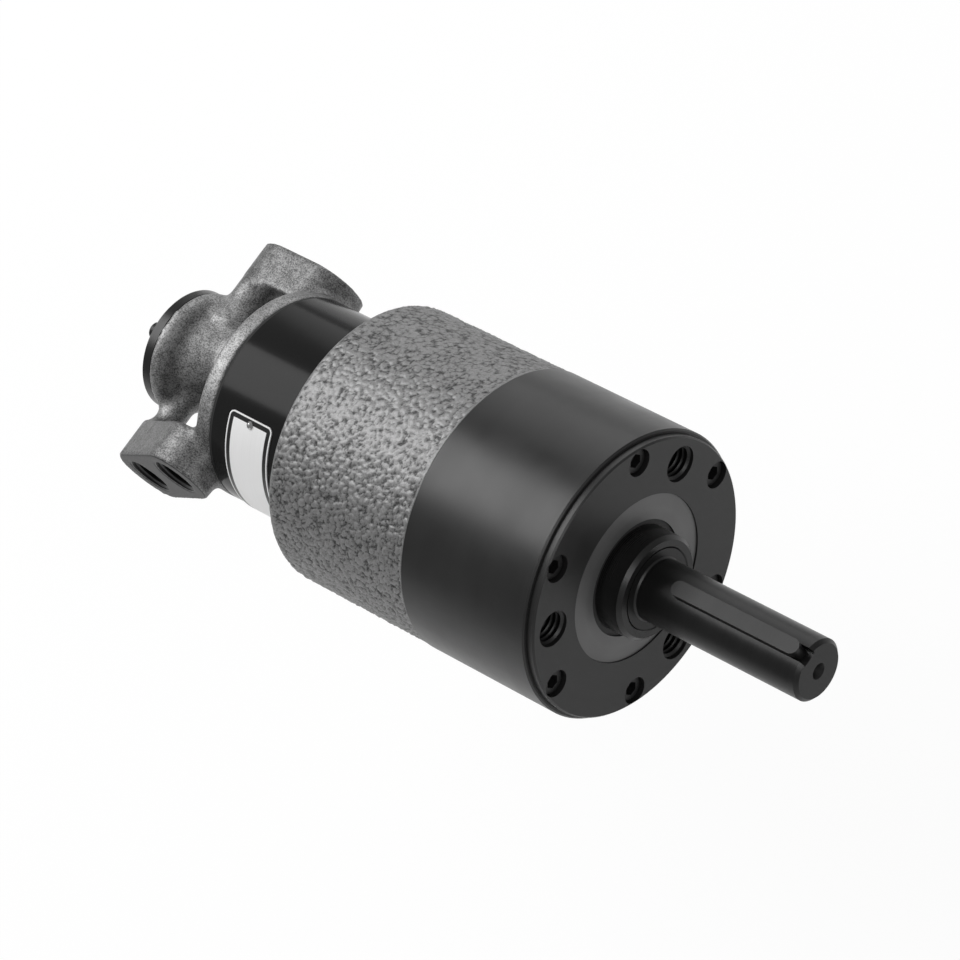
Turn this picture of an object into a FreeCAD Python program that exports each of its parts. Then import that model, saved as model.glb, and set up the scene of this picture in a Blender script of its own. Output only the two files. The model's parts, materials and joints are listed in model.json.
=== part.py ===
import FreeCAD, Part

import math
import os

import Sketcher
from FreeCAD import Placement, Rotation, Vector

# Face-mounted axial piston air motor with a planetary gear head.
# +X runs out along the output shaft and the origin is the centre of the front mounting face.
# The port bosses stand on -Y and +Y. A clock angle is measured about +X, from +Y towards +Z.

SIZES = {
    # fits
    "slip_fit": 0.05,            # radial gap of a seated register
    "press_gap": 0.01,           # radial gap drawn between pieces that are pressed together
    "running_fit": 0.05,         # radial gap of a turning or sliding pair
    "side_play": 0.3,            # end play of what turns between two faces
    "edge_break": 0.5,           # chamfer on turned edges
    # gear case and front cover
    "case_radius": 44.45,
    "case_wall": 10.45,
    "register_wall": 1.35,       # rim of the gear case round the front cover
    "register_length": 2.6,
    "cover_thickness": 14.0,
    "case_lip_height": 2.5,
    "case_lip_length": 6.3,
    "case_spigot_depth": 3.0,
    # face pattern
    "face_clock": -3.6,          # degrees from the port bosses to the first case screw
    "case_screw_count": 6,
    "case_screw_inset": 4.5,     # in from the edge of the front cover
    "case_screw_radius": 2.4,
    "case_screw_hole_radius": 2.65,
    "case_screw_head_radius": 3.95,
    "case_screw_head_height": 4.8,
    "case_screw_recess_radius": 4.2,
    "case_screw_recess_depth": 6.3,
    "case_screw_grip": 13.2,     # length of thread in the motor housing
    "socket_flats": 3.97,
    "socket_depth": 2.4,
    "mount_hole_count": 3,
    "mount_hole_inset": 8.175,   # in from the edge of the front cover
    "mount_hole_radius": 5.55,
    "mount_hole_depth": 12.0,
    # front bearing, retainer and seal
    "journal_radius": 12.5,
    "journal_front": 7.7,        # how far the journal stands in front of the mounting face
    "bearing_wall": 3.375,       # between the mounting holes and the bearing seat
    "bearing_width": 15.0,
    "bearing_front": 3.4,        # depth of the bearing below the mounting face
    "bearing_lip_height": 2.5,
    "bearing_lip_length": 2.5,
    "ball_radius": 3.97,
    "ball_count": 9,
    "race_shoulder": 1.02,       # depth of the ball track
    "cage_thickness": 1.3,
    "cage_width": 9.6,
    "retainer_recess": 0.5,
    "retainer_bore_radius": 18.0,
    "seal_seat_step": 3.0,
    "seal_seat_depth": 1.4,
    "seal_lip_depth": 1.2,
    "collar_radius": 16.2,
    "collar_front": 7.8,
    "collar_chamfer": 1.2,
    # output shaft and key
    "shaft_radius": 9.525,
    "shaft_end": 67.0,
    "shaft_end_chamfer": 1.1,
    "centre_mouth_radius": 2.5,
    "centre_drill_radius": 1.2,
    "centre_depth": 5.4,
    "shaft_shoulder_radius": 15.0,
    "shaft_shoulder_length": 3.1,
    "key_width": 4.76,
    "key_height": 4.76,
    "key_stand": 2.38,           # height of the key above the shaft
    "key_start": 19.0,
    "key_length": 45.8,
    "key_clock": 91.0,
    # planetary gears
    "ring_gear_rim": 2.125,      # outside the roots of the ring gear's teeth
    "pressure_angle": 20.0,
    "tooth_backlash": 0.16,
    "sun_teeth": 14,
    "planet_teeth": 13,
    "planet_count": 3,
    "ring_gear_width": 14.0,
    "carrier_pocket_wall": 5.5,
    "carrier_play": 1.5,
    "carrier_flange": 5.0,
    "carrier_plate_thickness": 3.5,
    "carrier_plate_bore": 12.8,
    "post_radius": 4.5,
    "post_offset": 0.75,         # out from the circle of the planets
    "planet_pin_radius": 3.5,
    "planet_pin_inset": 0.4,
    "planet_bush_radius": 5.0,
    "carrier_screw_radius": 1.5,
    "carrier_screw_length": 8.0,
    "carrier_screw_head_radius": 2.7,
    "carrier_screw_head_height": 1.6,
    # crank and wobble plate
    "nose_radius": 5.0,
    "nose_length": 8.0,
    "pilot_bush_radius": 7.0,
    "pilot_depth": 9.0,
    "sun_seat_radius": 6.0,
    "crank_radius": 7.5,
    "front_bush_radius": 11.0,
    "web_radius": 22.0,
    "web_thickness": 4.2,
    "web_play": 0.5,
    "web_flat_height": 12.5,
    "wobble_centre": 74.0,       # depth of the wobble centre below the mounting face
    "wobble_tilt": 12.0,
    "inclined_radius": 8.0,
    "inclined_shoulder_radius": 10.5,
    "inclined_shoulder_length": 6.2,
    "wobble_hub_radius": 14.0,
    "wobble_hub_length": 12.0,
    "wobble_plate_rim": 1.5,     # outside the holes for the rods
    "wobble_plate_thickness": 7.0,
    "wobble_bush_radius": 10.5,
    "journal_ring_radius": 10.0,
    "journal_ring_width": 1.5,
    "journal_ring_groove_radius": 7.2,
    "guide_pin_radius": 2.0,
    "guide_pin_end_play": 1.1,
    "guide_slot_wall": 6.85,
    "guide_slot_play": 0.7,
    "rear_shaft_radius": 6.0,
    "rear_bush_radius": 9.0,
    "rear_bush_length": 12.0,
    "drive_radius": 3.5,
    "drive_grip": 16.0,
    # pistons and cylinder block
    "piston_count": 5,
    "cylinder_wall": 2.0,        # between the cylinders and the outside of the spigot
    "piston_clock": 18.0,
    "cylinder_radius": 8.0,
    "piston_length": 20.0,
    "piston_head_room": 0.8,
    "piston_socket_depth": 9.0,
    "piston_socket_radius": 5.0,
    "rod_ball_radius": 3.5,
    "rod_foot_radius": 3.0,
    "rod_radius": 2.5,
    "rod_hole_radius": 5.5,
    "ring_width": 1.5,
    "ring_depth": 1.2,
    "ring_spacing": 3.4,
    # motor housing
    "housing_length": 54.9,
    "housing_seat_wall": 1.2,    # between the case screws and the seat of the bearing plate
    "housing_seat_step": 1.5,
    "housing_shoulder_round": 2.5,
    "bearing_plate_thickness": 8.0,
    "housing_rear_wall": 8.0,
    "block_inset": 11.45,        # in from the outside of the gear case
    "block_length": 34.6,
    "block_nut_height": 3.2,     # from the spigot to the outside of its nut
    "block_spigot_length": 14.0,
    "block_nut_play": 0.3,
    "block_nut_width": 5.0,
    "block_bore_radius": 6.2,
    "gasket_thickness": 0.8,
    "gasket_bore_radius": 7.5,
    # nameplate
    "nameplate_front": 10.9,     # from the front edge of the cylinder block
    "nameplate_width": 17.4,
    "nameplate_thickness": 0.4,
    "nameplate_clock": 121.7,
    "nameplate_arc": 116.6,
    "nameplate_round": 1.8,
    "drive_screw_inset": 3.7,    # degrees in from each end of the plate
    "drive_screw_head_radius": 1.23,
    "drive_screw_head_height": 0.8,
    "drive_screw_radius": 0.7,
    "drive_screw_length": 3.0,
    # port housing
    "flange_stand": 0.1,         # the flange stands out past the cylinder block
    "flange_thickness": 6.3,
    "disc_radius": 19.67,        # the disc behind the waist, which carries the rear cover
    "disc_thickness": 5.5,
    "barrel_length": 34.1,       # from the back of the flange to the back of the disc
    "waist_radius": 12.0,
    "waist_offset": 3.0,         # the waist bulges towards the exhaust boss
    "waist_round": 6.0,
    "waist_edge": 0.2,           # step left round the rear fillet of the waist
    "valve_bore_radius": 6.5,
    "head_slot_width": 6.0,
    "head_slot_depth": 3.0,
    "head_slot_overlap": 4.0,    # past the middle of the cylinders
    "boss_stand": 6.0,           # height of both port faces above the rim of the flange
    "exhaust_boss_centre": 20.9, # from the front of the flange
    "exhaust_boss_half_length": 7.0,
    "exhaust_boss_radius": 12.0,
    "exhaust_boss_cover": 7.6,   # depth of the boss below the rim of the flange
    "exhaust_gap": 0.6,          # between the rim of the flange and the boss above it
    "exhaust_port_centre": 25.9, # from the front of the flange
    "exhaust_port_radius": 8.35,
    "exhaust_port_depth": 10.5,
    "exhaust_neck_centre": 31.6,
    "exhaust_neck_offset": 6.0,
    "exhaust_neck_radius": 4.8,
    "exhaust_passage_radius": 2.2,
    "inlet_boss_centre": 21.9,   # from the front of the flange
    "inlet_boss_clock": 36.0,
    "inlet_boss_half_length": 13.9,
    "inlet_boss_radius": 11.1,
    "inlet_boss_cover": 7.6,     # depth of the boss below the rim of the flange
    "inlet_port_half_spacing": 12.1,
    "inlet_port_radius": 6.6,
    "inlet_port_depth": 12.0,
    "inlet_passage_radius": 2.0,
    "port_chamfer": 0.6,
    "inlet_neck_centre": 35.8,   # from the front of the flange
    "inlet_neck_offset": -2.5,
    "inlet_neck_radius": 3.4,
    "inlet_link_offset": 4.5,
    "port_screw_count": 3,
    "port_screw_inset": 6.5,     # in from the outside of the cylinder block
    "port_screw_radius": 2.1,
    "port_screw_hole_radius": 2.3,
    "port_screw_length": 12.0,
    "port_screw_head_radius": 3.8,
    "port_screw_head_height": 2.3,
    "port_screw_recess_radius": 4.1,
    # rotary valve and rear cover
    "valve_groove_depth": 1.5,
    "valve_groove_width": 3.2,
    "valve_pocket_depth": 5.5,
    "valve_pocket_floor": 4.6,
    "valve_pocket_width": 8.0,
    "rear_cover_radius": 19.3,
    "rear_cover_thickness": 3.5,
    "rear_spigot_length": 1.2,
    "rear_screw_count": 4,
    "rear_screw_circle": 15.4,
    "rear_screw_clock": 103.0,
    "rear_screw_radius": 1.4,
    "rear_screw_length": 4.4,
    "rear_screw_head_radius": 2.6,
    "rear_screw_head_height": 2.2,
}


class Size:
    """A number together with the sheet expression that gives it."""

    def __init__(self, value, text=None):
        self.value = float(value)
        self.text = repr(self.value) if text is None else text

    def __add__(self, other):
        return Size(self.value + size(other).value, "(" + self.text + " + " + size(other).text + ")")

    def __sub__(self, other):
        return Size(self.value - size(other).value, "(" + self.text + " - " + size(other).text + ")")

    def __mul__(self, other):
        return Size(self.value * size(other).value, "(" + self.text + " * " + size(other).text + ")")

    def __truediv__(self, other):
        return Size(self.value / size(other).value, "(" + self.text + " / " + size(other).text + ")")

    def __radd__(self, other):
        return size(other) + self

    def __rsub__(self, other):
        return size(other) - self

    def __rmul__(self, other):
        return size(other) * self

    def __rtruediv__(self, other):
        return size(other) / self

    def __neg__(self):
        return Size(-self.value, "(0 - " + self.text + ")")


def size(item):
    return item if isinstance(item, Size) else Size(item)


def cosd(angle):
    return Size(math.cos(math.radians(size(angle).value)), "cos(" + size(angle).text + " * 1 deg)")


def sind(angle):
    return Size(math.sin(math.radians(size(angle).value)), "sin(" + size(angle).text + " * 1 deg)")


class Sheet:
    """The driving sizes: one aliased spreadsheet cell each, read back as attributes."""

    def __init__(self, document, sizes):
        cells = document.addObject("Spreadsheet::Sheet", "sizes")
        for row, (alias, value) in enumerate(sizes.items(), 1):
            cells.set("A%d" % row, alias.replace("_", " "))
            cells.set("B%d" % row, str(value))
            cells.setAlias("B%d" % row, alias)
            setattr(self, alias, Size(value, "sizes." + alias))
        document.recompute()


doc = FreeCAD.newDocument("air_motor")
s = Sheet(doc, SIZES)
nodes = []


# ---------------------------------------------------------------- building blocks
def keep(item, label):
    """Name a finished sub-part."""
    item.Label = label
    nodes.append(item)
    return item


def bind(item, prop, amount):
    item.setExpression(prop, size(amount).text)


def move(item, x=0, y=0, z=0, axis=None, angle=0):
    """Place an object, with every coordinate bound to the sheet."""
    turn = Rotation(axis or Vector(1, 0, 0), size(angle).value)
    item.Placement = Placement(Vector(size(x).value, size(y).value, size(z).value), turn)
    for name, amount in (("x", x), ("y", y), ("z", z)):
        bind(item, ".Placement.Base." + name, amount)
    if axis is not None:
        bind(item, ".Placement.Rotation.Angle", angle)


def new_body(label):
    body = doc.addObject("PartDesign::Body", label)
    body.AllowCompound = True
    return keep(body, label)


def origin_item(body, role):
    for item in body.Origin.OriginFeatures:
        if item.Role == role:
            return item
    raise ValueError(role)


def sketch_on(body, plane, at=(0, 0, 0), axis=None, angle=0):
    """A sketch on one of the body's origin planes, shifted and turned by bound amounts."""
    sketch = body.newObject("Sketcher::SketchObject", body.Label + "_sketch")
    sketch.AttachmentSupport = [(origin_item(body, plane), "")]
    sketch.MapMode = "FlatFace"
    turn = Rotation(axis or Vector(0, 0, 1), size(angle).value)
    sketch.AttachmentOffset = Placement(Vector(*[size(amount).value for amount in at]), turn)
    for name, amount in zip("xyz", at):
        bind(sketch, "AttachmentOffset.Base." + name, amount)
    if axis is not None:
        bind(sketch, "AttachmentOffset.Rotation.Angle", angle)
    return sketch


def radial_sketch(body, x, clock, height):
    """A sketch whose normal points away from the shaft axis, at a clock angle and a height."""
    at = (x, height * cosd(clock), height * sind(clock))
    return sketch_on(body, "XY_Plane", at, Vector(1, 0, 0), clock - 90)


def pin(sketch, geometry, end, x, y):
    """Bind one sketch point to two coordinates."""
    x, y = size(x), size(y)
    if x.value == 0:
        sketch.addConstraint(Sketcher.Constraint("PointOnObject", geometry, end, -2))
    else:
        index = sketch.addConstraint(Sketcher.Constraint("DistanceX", -1, 1, geometry, end, x.value))
        bind(sketch, "Constraints[%d]" % index, x)
    if y.value == 0:
        sketch.addConstraint(Sketcher.Constraint("PointOnObject", geometry, end, -1))
    else:
        index = sketch.addConstraint(Sketcher.Constraint("DistanceY", -1, 1, geometry, end, y.value))
        bind(sketch, "Constraints[%d]" % index, y)


def draw_outline(sketch, points):
    """A closed outline of straight lines through bound points."""
    points = [(size(x), size(y)) for x, y in points]
    ends = points[1:] + points[:1]
    for (x1, y1), (x2, y2) in zip(points, ends):
        line = Part.LineSegment(Vector(x1.value, y1.value, 0), Vector(x2.value, y2.value, 0))
        sketch.addGeometry(line, False)
    for index in range(len(points)):
        following = (index + 1) % len(points)
        sketch.addConstraint(Sketcher.Constraint("Coincident", index, 2, following, 1))
    for index, (x, y) in enumerate(points):
        pin(sketch, index, 1, x, y)


def draw_circle(sketch, x, y, radius):
    x, y, radius = size(x), size(y), size(radius)
    circle = Part.Circle(Vector(x.value, y.value, 0), Vector(0, 0, 1), radius.value)
    geometry = sketch.addGeometry(circle, False)
    pin(sketch, geometry, 3, x, y)
    index = sketch.addConstraint(Sketcher.Constraint("Radius", geometry, radius.value))
    bind(sketch, "Constraints[%d]" % index, radius)


def draw_slot(sketch, half_length, radius, centre=(0, 0), clock=0):
    """A long hole: two half circles whose centres lie half_length either side of the centre."""
    centre = (size(centre[0]), size(centre[1]))
    along = (cosd(clock), sind(clock))
    ends = [tuple(c + sign * half_length * a for c, a in zip(centre, along)) for sign in (-1, 1)]
    angle = math.radians(size(clock).value)
    across = Vector(-math.sin(angle), math.cos(angle), 0) * size(radius).value
    back, front = [Vector(x.value, y.value, 0) for x, y in ends]
    normal = Vector(0, 0, 1)
    start = angle + math.pi / 2
    sketch.addGeometry([
        Part.ArcOfCircle(Part.Circle(back, normal, size(radius).value), start, start + math.pi),
        Part.LineSegment(back - across, front - across),
        Part.ArcOfCircle(Part.Circle(front, normal, size(radius).value), start + math.pi, start + 2 * math.pi),
        Part.LineSegment(front + across, back + across),
    ], False)
    for item in range(4):
        sketch.addConstraint(Sketcher.Constraint("Tangent", item, 2, (item + 1) % 4, 1))
    for item, (x, y) in ((0, ends[0]), (2, ends[1])):
        pin(sketch, item, 3, x, y)
    index = sketch.addConstraint(Sketcher.Constraint("Radius", 0, size(radius).value))
    bind(sketch, "Constraints[%d]" % index, radius)


def feature(body, kind, sketch, expected, **settings):
    """Add a sketch-based feature and make sure that it added or removed material."""
    before = body.Shape.Volume if body.Tip else 0.0
    item = body.newObject("PartDesign::" + kind, body.Label + "_" + kind.lower())
    item.Profile = sketch
    for name, amount in settings.items():
        if isinstance(amount, Size):
            setattr(item, name, amount.value)
            bind(item, name, amount)
        else:
            setattr(item, name, amount)
    body.Tip = item
    doc.recompute()
    change = body.Shape.Volume - before
    if change * expected <= 0:
        raise RuntimeError("%s: %s changed the volume by %.3f" % (body.Label, kind, change))
    return item


def revolve(body, sketch, axis="H_Axis", angle=360):
    return feature(body, "Revolution", sketch, 1, ReferenceAxis=(sketch, [axis]), Angle=angle)


def groove(body, sketch, axis="H_Axis"):
    return feature(body, "Groove", sketch, -1, ReferenceAxis=(sketch, [axis]), Angle=360)


def pad(body, sketch, length, reverse=False):
    return feature(body, "Pad", sketch, 1, Length=length, Reversed=reverse)


def pocket(body, sketch, depth, reverse=False):
    return feature(body, "Pocket", sketch, -1, Length=depth, Reversed=reverse)


def ring_of(body, originals, count, angle=360):
    """Repeat features about the shaft axis."""
    pattern = body.newObject("PartDesign::PolarPattern", body.Label + "_pattern")
    pattern.Originals = originals
    pattern.Axis = (origin_item(body, "X_Axis"), [""])
    pattern.Angle = size(angle).value
    bind(pattern, "Angle", angle)
    pattern.Occurrences = int(size(count).value)
    bind(pattern, "Occurrences", count)
    body.Tip = pattern
    doc.recompute()
    return pattern


def turned(label, outline, at=(0, 0, 0)):
    """A turned piece: an outline of (x, radius) points revolved about the shaft direction."""
    body = new_body(label)
    sketch = sketch_on(body, "XY_Plane")
    draw_outline(sketch, outline)
    revolve(body, sketch)
    move(body, *at)
    return body


def drill(body, mouth, circle, clock, radius, depth, count=1, forward=False):
    """Round holes along the shaft direction from a mouth plane, in a ring."""
    sketch = sketch_on(body, "YZ_Plane", (0, 0, mouth))
    draw_circle(sketch, circle * cosd(clock), circle * sind(clock), radius)
    hole = pocket(body, sketch, depth, forward)
    if size(count).value > 1:
        ring_of(body, [hole], count)
    return hole


def circle_point(circle, clock):
    return (circle * cosd(clock), circle * sind(clock))


def soften(body, amount, chosen):
    """Round the edges of the body's tip that a test picks."""
    doc.recompute()
    tip = body.Tip
    names = ["Edge%d" % n for n, edge in enumerate(tip.Shape.Edges, 1) if chosen(edge)]
    if not names:
        raise RuntimeError(body.Label + ": no edge to round")
    item = body.newObject("PartDesign::Fillet", body.Label + "_round")
    item.Base = (tip, names)
    item.Radius = size(amount).value
    bind(item, "Radius", amount)
    body.Tip = item
    doc.recompute()
    return item


def is_ring(edge, x, radius):
    """Whether an edge is a full circle about the shaft axis at a station."""
    curve = edge.Curve
    if not isinstance(curve, Part.Circle) or not edge.Closed:
        return False
    off_axis = math.hypot(curve.Center.y, curve.Center.z)
    return off_axis < 1e-6 and abs(curve.Center.x - x.value) < 1e-6 and abs(curve.Radius - radius.value) < 1e-6


def screws(label, seat, circle, clock, count, radius, length, head_radius, head_height, socket, backward=False):
    """Socket or low-head screws along the shaft axis, with the heads on a seat plane."""
    side = -1 if backward else 1
    body = new_body(label)
    sketch = sketch_on(body, "XY_Plane", (seat, *circle_point(circle, clock)))
    top = side * head_height
    edge = s.edge_break / 2
    draw_outline(sketch, [
        (top, 0),
        (top, head_radius - edge),
        (top - side * edge, head_radius),
        (0, head_radius),
        (0, radius),
        (-side * length, radius),
        (-side * length, 0),
    ])
    made = [revolve(body, sketch)]
    flats, depth = socket
    sketch = sketch_on(body, "YZ_Plane", (*circle_point(circle, clock), seat + top))
    corner = flats / 2 / cosd(30)
    draw_outline(sketch, [circle_point(corner, clock + 60 * step) for step in range(6)])
    made.append(pocket(body, sketch, depth, backward))
    ring_of(body, made, count)
    return body


# ---------------------------------------------------------------- stations along the shaft
case_front = -s.register_length
cover_rear = -s.cover_thickness
bearing_front = -s.bearing_front
bearing_rear = bearing_front - s.bearing_width
bearing_middle = bearing_front - s.bearing_width / 2
lip_rear = bearing_rear - s.bearing_lip_length
flange_front = bearing_rear - s.shaft_shoulder_length
flange_rear = flange_front - s.carrier_flange
ring_front = flange_rear
ring_rear = ring_front - s.ring_gear_width
gear_front = ring_front - s.side_play
gear_rear = ring_rear + s.side_play
plate_rear = ring_rear - s.carrier_plate_thickness
case_lip_rear = ring_rear - s.case_lip_length
housing_front = case_lip_rear - s.case_spigot_depth
wall_front = case_lip_rear - s.side_play
wall_rear = housing_front - s.bearing_plate_thickness
web_front = wall_rear - s.web_play
web_rear = web_front - s.web_thickness
wobble_x = -s.wobble_centre
housing_rear = housing_front - s.housing_length
rear_wall_front = housing_rear + s.housing_rear_wall
spigot_front = housing_rear + s.block_spigot_length
rear_bush_rear = spigot_front - s.rear_bush_length
block_rear = housing_rear - s.block_length
head_face = block_rear - s.gasket_thickness
flange_back = head_face - s.flange_thickness
barrel_rear = flange_back - s.barrel_length
cover_back = barrel_rear - s.rear_cover_thickness
spigot_tip = barrel_rear + s.rear_spigot_length

# radii that follow the gear case
cover_radius = s.case_radius - s.register_wall
case_bore_radius = s.case_radius - s.case_wall
case_lip_radius = case_bore_radius - s.case_lip_height
case_screw_circle = cover_radius - s.case_screw_inset
mount_hole_circle = cover_radius - s.mount_hole_inset
bearing_radius = mount_hole_circle - s.mount_hole_radius - s.bearing_wall
bearing_lip_radius = bearing_radius - s.bearing_lip_height
seal_seat_radius = s.retainer_bore_radius + s.seal_seat_step
carrier_pocket_radius = case_bore_radius - s.carrier_pocket_wall
carrier_radius = carrier_pocket_radius - s.carrier_play
housing_seat_radius = case_screw_circle - s.case_screw_radius - s.housing_seat_wall
housing_cavity_radius = housing_seat_radius - s.housing_seat_step
block_radius = s.case_radius - s.block_inset
guide_slot_radius = s.case_radius - s.guide_slot_wall
guide_pin_reach = guide_slot_radius - s.guide_pin_end_play
block_nut_radius = housing_cavity_radius - s.block_nut_play
block_spigot_radius = block_nut_radius - s.block_nut_height
piston_circle = block_spigot_radius - s.cylinder_radius - s.cylinder_wall
wobble_plate_radius = piston_circle + s.rod_hole_radius + s.wobble_plate_rim
head_slot_reach = piston_circle + s.head_slot_overlap
flange_radius = block_radius + s.flange_stand
port_screw_circle = block_radius - s.port_screw_inset
boss_reach = flange_radius + s.boss_stand
exhaust_boss_underside = flange_radius - s.exhaust_boss_cover
inlet_boss_underside = flange_radius - s.inlet_boss_cover

ring_teeth = s.sun_teeth + 2 * s.planet_teeth
gear_module = (case_bore_radius - s.ring_gear_rim) / (ring_teeth / 2 + 1.25)
sun_radius = gear_module * s.sun_teeth / 2
planet_radius = gear_module * s.planet_teeth / 2
planet_circle = sun_radius + planet_radius
post_circle = planet_circle + s.post_offset
case_recess_radius = cover_radius + s.slip_fit
hub_radius = case_bore_radius - s.slip_fit
stroke = piston_circle * sind(s.wobble_tilt)

# ---------------------------------------------------------------- front cover and gear case
front_cover = turned("front_cover", [
    (0, bearing_radius),
    (0, cover_radius - s.edge_break),
    (-s.edge_break, cover_radius),
    (cover_rear, cover_radius),
    (cover_rear, hub_radius),
    (ring_front, hub_radius),
    (ring_front, carrier_pocket_radius),
    (lip_rear, carrier_pocket_radius),
    (lip_rear, bearing_lip_radius),
    (bearing_rear, bearing_lip_radius),
    (bearing_rear, bearing_radius),
])
drill(front_cover, 0, mount_hole_circle, s.face_clock + 30, s.mount_hole_radius, s.mount_hole_depth,
      s.mount_hole_count)
seat = drill(front_cover, 0, case_screw_circle, s.face_clock, s.case_screw_recess_radius,
             s.case_screw_recess_depth)
ring_of(front_cover, [seat], s.case_screw_count)
hole = drill(front_cover, 0, case_screw_circle, s.face_clock, s.case_screw_hole_radius,
             s.cover_thickness)
ring_of(front_cover, [hole], s.case_screw_count)

gear_case = turned("gear_case", [
    (case_front, case_recess_radius),
    (case_front, s.case_radius - s.edge_break),
    (case_front - s.edge_break, s.case_radius),
    (housing_front, s.case_radius),
    (housing_front, case_bore_radius),
    (case_lip_rear, case_bore_radius),
    (case_lip_rear, case_lip_radius),
    (ring_rear, case_lip_radius),
    (ring_rear, case_bore_radius),
    (cover_rear, case_bore_radius),
    (cover_rear, case_recess_radius),
])
drill(gear_case, cover_rear, case_screw_circle, s.face_clock, s.case_screw_hole_radius,
      cover_rear - housing_front, s.case_screw_count)

screw_seat = -s.case_screw_recess_depth
screws("case_screws", screw_seat, case_screw_circle, s.face_clock, s.case_screw_count,
       s.case_screw_radius, screw_seat - housing_front + s.case_screw_grip, s.case_screw_head_radius,
       s.case_screw_head_height, (s.socket_flats, s.socket_depth))

retainer_radius = bearing_radius - s.slip_fit
seal_seat = bearing_front + s.seal_seat_depth
turned("retainer_ring", [
    (-s.retainer_recess, s.retainer_bore_radius),
    (-s.retainer_recess, retainer_radius),
    (bearing_front, retainer_radius),
    (bearing_front, seal_seat_radius),
    (seal_seat, seal_seat_radius),
    (seal_seat, s.retainer_bore_radius),
])
seal_bore = s.collar_radius + s.running_fit
turned("shaft_seal", [
    (-s.seal_lip_depth, seal_bore),
    (-s.seal_lip_depth, s.retainer_bore_radius - s.slip_fit),
    (seal_seat - s.press_gap, s.retainer_bore_radius - s.slip_fit),
    (seal_seat - s.press_gap, seal_seat_radius - s.slip_fit),
    (bearing_front + s.press_gap, seal_seat_radius - s.slip_fit),
    (bearing_front + s.press_gap, seal_bore),
])
collar_bore = s.journal_radius + s.press_gap
turned("collar", [
    (bearing_front, collar_bore),
    (bearing_front, s.collar_radius),
    (s.collar_front - s.collar_chamfer, s.collar_radius),
    (s.collar_front, s.collar_radius - s.collar_chamfer),
    (s.collar_front, collar_bore + s.edge_break),
    (s.collar_front - s.edge_break, collar_bore),
])

# ---------------------------------------------------------------- front ball bearing
pitch_radius = (bearing_radius + s.journal_radius) / 2
outer_shoulder = pitch_radius + s.ball_radius - s.race_shoulder
inner_shoulder = pitch_radius - s.ball_radius + s.race_shoulder
track_radius = s.ball_radius + s.running_fit


def race(label, inner, outer):
    body = turned(label, [
        (bearing_front, inner),
        (bearing_front, outer),
        (bearing_rear, outer),
        (bearing_rear, inner),
    ])
    sketch = sketch_on(body, "XY_Plane")
    draw_circle(sketch, bearing_middle, pitch_radius, track_radius)
    groove(body, sketch)


race("bearing_outer_ring", outer_shoulder, bearing_radius - s.press_gap)
race("bearing_inner_ring", s.journal_radius + s.press_gap, inner_shoulder)

balls = new_body("bearing_balls")
ball = balls.newObject("PartDesign::AdditiveSphere", "ball")
ball.AttachmentSupport = [(origin_item(balls, "XY_Plane"), "")]
ball.MapMode = "FlatFace"
bind(ball, "Radius", s.ball_radius)
bind(ball, "AttachmentOffset.Base.x", bearing_middle)
bind(ball, "AttachmentOffset.Base.y", pitch_radius)
doc.recompute()
ring_of(balls, [ball], s.ball_count)

cage = turned("bearing_cage", [
    (bearing_middle + s.cage_width / 2, pitch_radius - s.cage_thickness / 2),
    (bearing_middle + s.cage_width / 2, pitch_radius + s.cage_thickness / 2),
    (bearing_middle - s.cage_width / 2, pitch_radius + s.cage_thickness / 2),
    (bearing_middle - s.cage_width / 2, pitch_radius - s.cage_thickness / 2),
])
sketch = sketch_on(cage, "XZ_Plane", (0, 0, -(pitch_radius + 2 * s.cage_thickness)))
draw_circle(sketch, bearing_middle, 0, s.ball_radius + s.running_fit)
window = pocket(cage, sketch, 4 * s.cage_thickness, True)
ring_of(cage, [window], s.ball_count)

# ---------------------------------------------------------------- output shaft and planet carrier
key_floor = s.shaft_radius + s.key_stand - s.key_height
output_shaft = turned("output_shaft", [
    (s.shaft_end, s.centre_mouth_radius),
    (s.shaft_end, s.shaft_radius - s.shaft_end_chamfer),
    (s.shaft_end - s.shaft_end_chamfer, s.shaft_radius),
    (s.journal_front + s.edge_break, s.shaft_radius),
    (s.journal_front, s.shaft_radius + s.edge_break),
    (s.journal_front, s.journal_radius),
    (bearing_rear, s.journal_radius),
    (bearing_rear, s.shaft_shoulder_radius),
    (flange_front, s.shaft_shoulder_radius),
    (flange_front, carrier_radius),
    (flange_rear, carrier_radius),
    (flange_rear, s.pilot_bush_radius),
    (flange_rear + s.pilot_depth, s.pilot_bush_radius),
    (flange_rear + s.pilot_depth, 0),
    (s.shaft_end - s.centre_depth, 0),
    (s.shaft_end - s.centre_depth + s.centre_drill_radius / 2, s.centre_drill_radius),
    (s.shaft_end - 1.7 * (s.centre_mouth_radius - s.centre_drill_radius), s.centre_drill_radius),
])
planet_step = 360 / s.planet_count
sketch = sketch_on(output_shaft, "YZ_Plane", (0, 0, flange_rear))
draw_circle(sketch, *circle_point(post_circle, planet_step / 2), s.post_radius)
post = pad(output_shaft, sketch, s.ring_gear_width, True)
ring_of(output_shaft, [post], s.planet_count)
drill(output_shaft, ring_rear, post_circle, planet_step / 2, s.carrier_screw_radius + s.press_gap,
      s.carrier_screw_length, s.planet_count, forward=True)
pin_hole_radius = s.planet_pin_radius + s.press_gap
drill(output_shaft, flange_front, planet_circle, 0, pin_hole_radius, s.carrier_flange, s.planet_count)
half_key = s.key_width / 2
way_half_length = (s.shaft_end - s.key_start) / 2
sketch = radial_sketch(output_shaft, s.key_start + half_key + way_half_length, s.key_clock, 2 * s.shaft_radius)
draw_slot(sketch, way_half_length, half_key + s.press_gap)
pocket(output_shaft, sketch, 2 * s.shaft_radius - key_floor)

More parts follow.
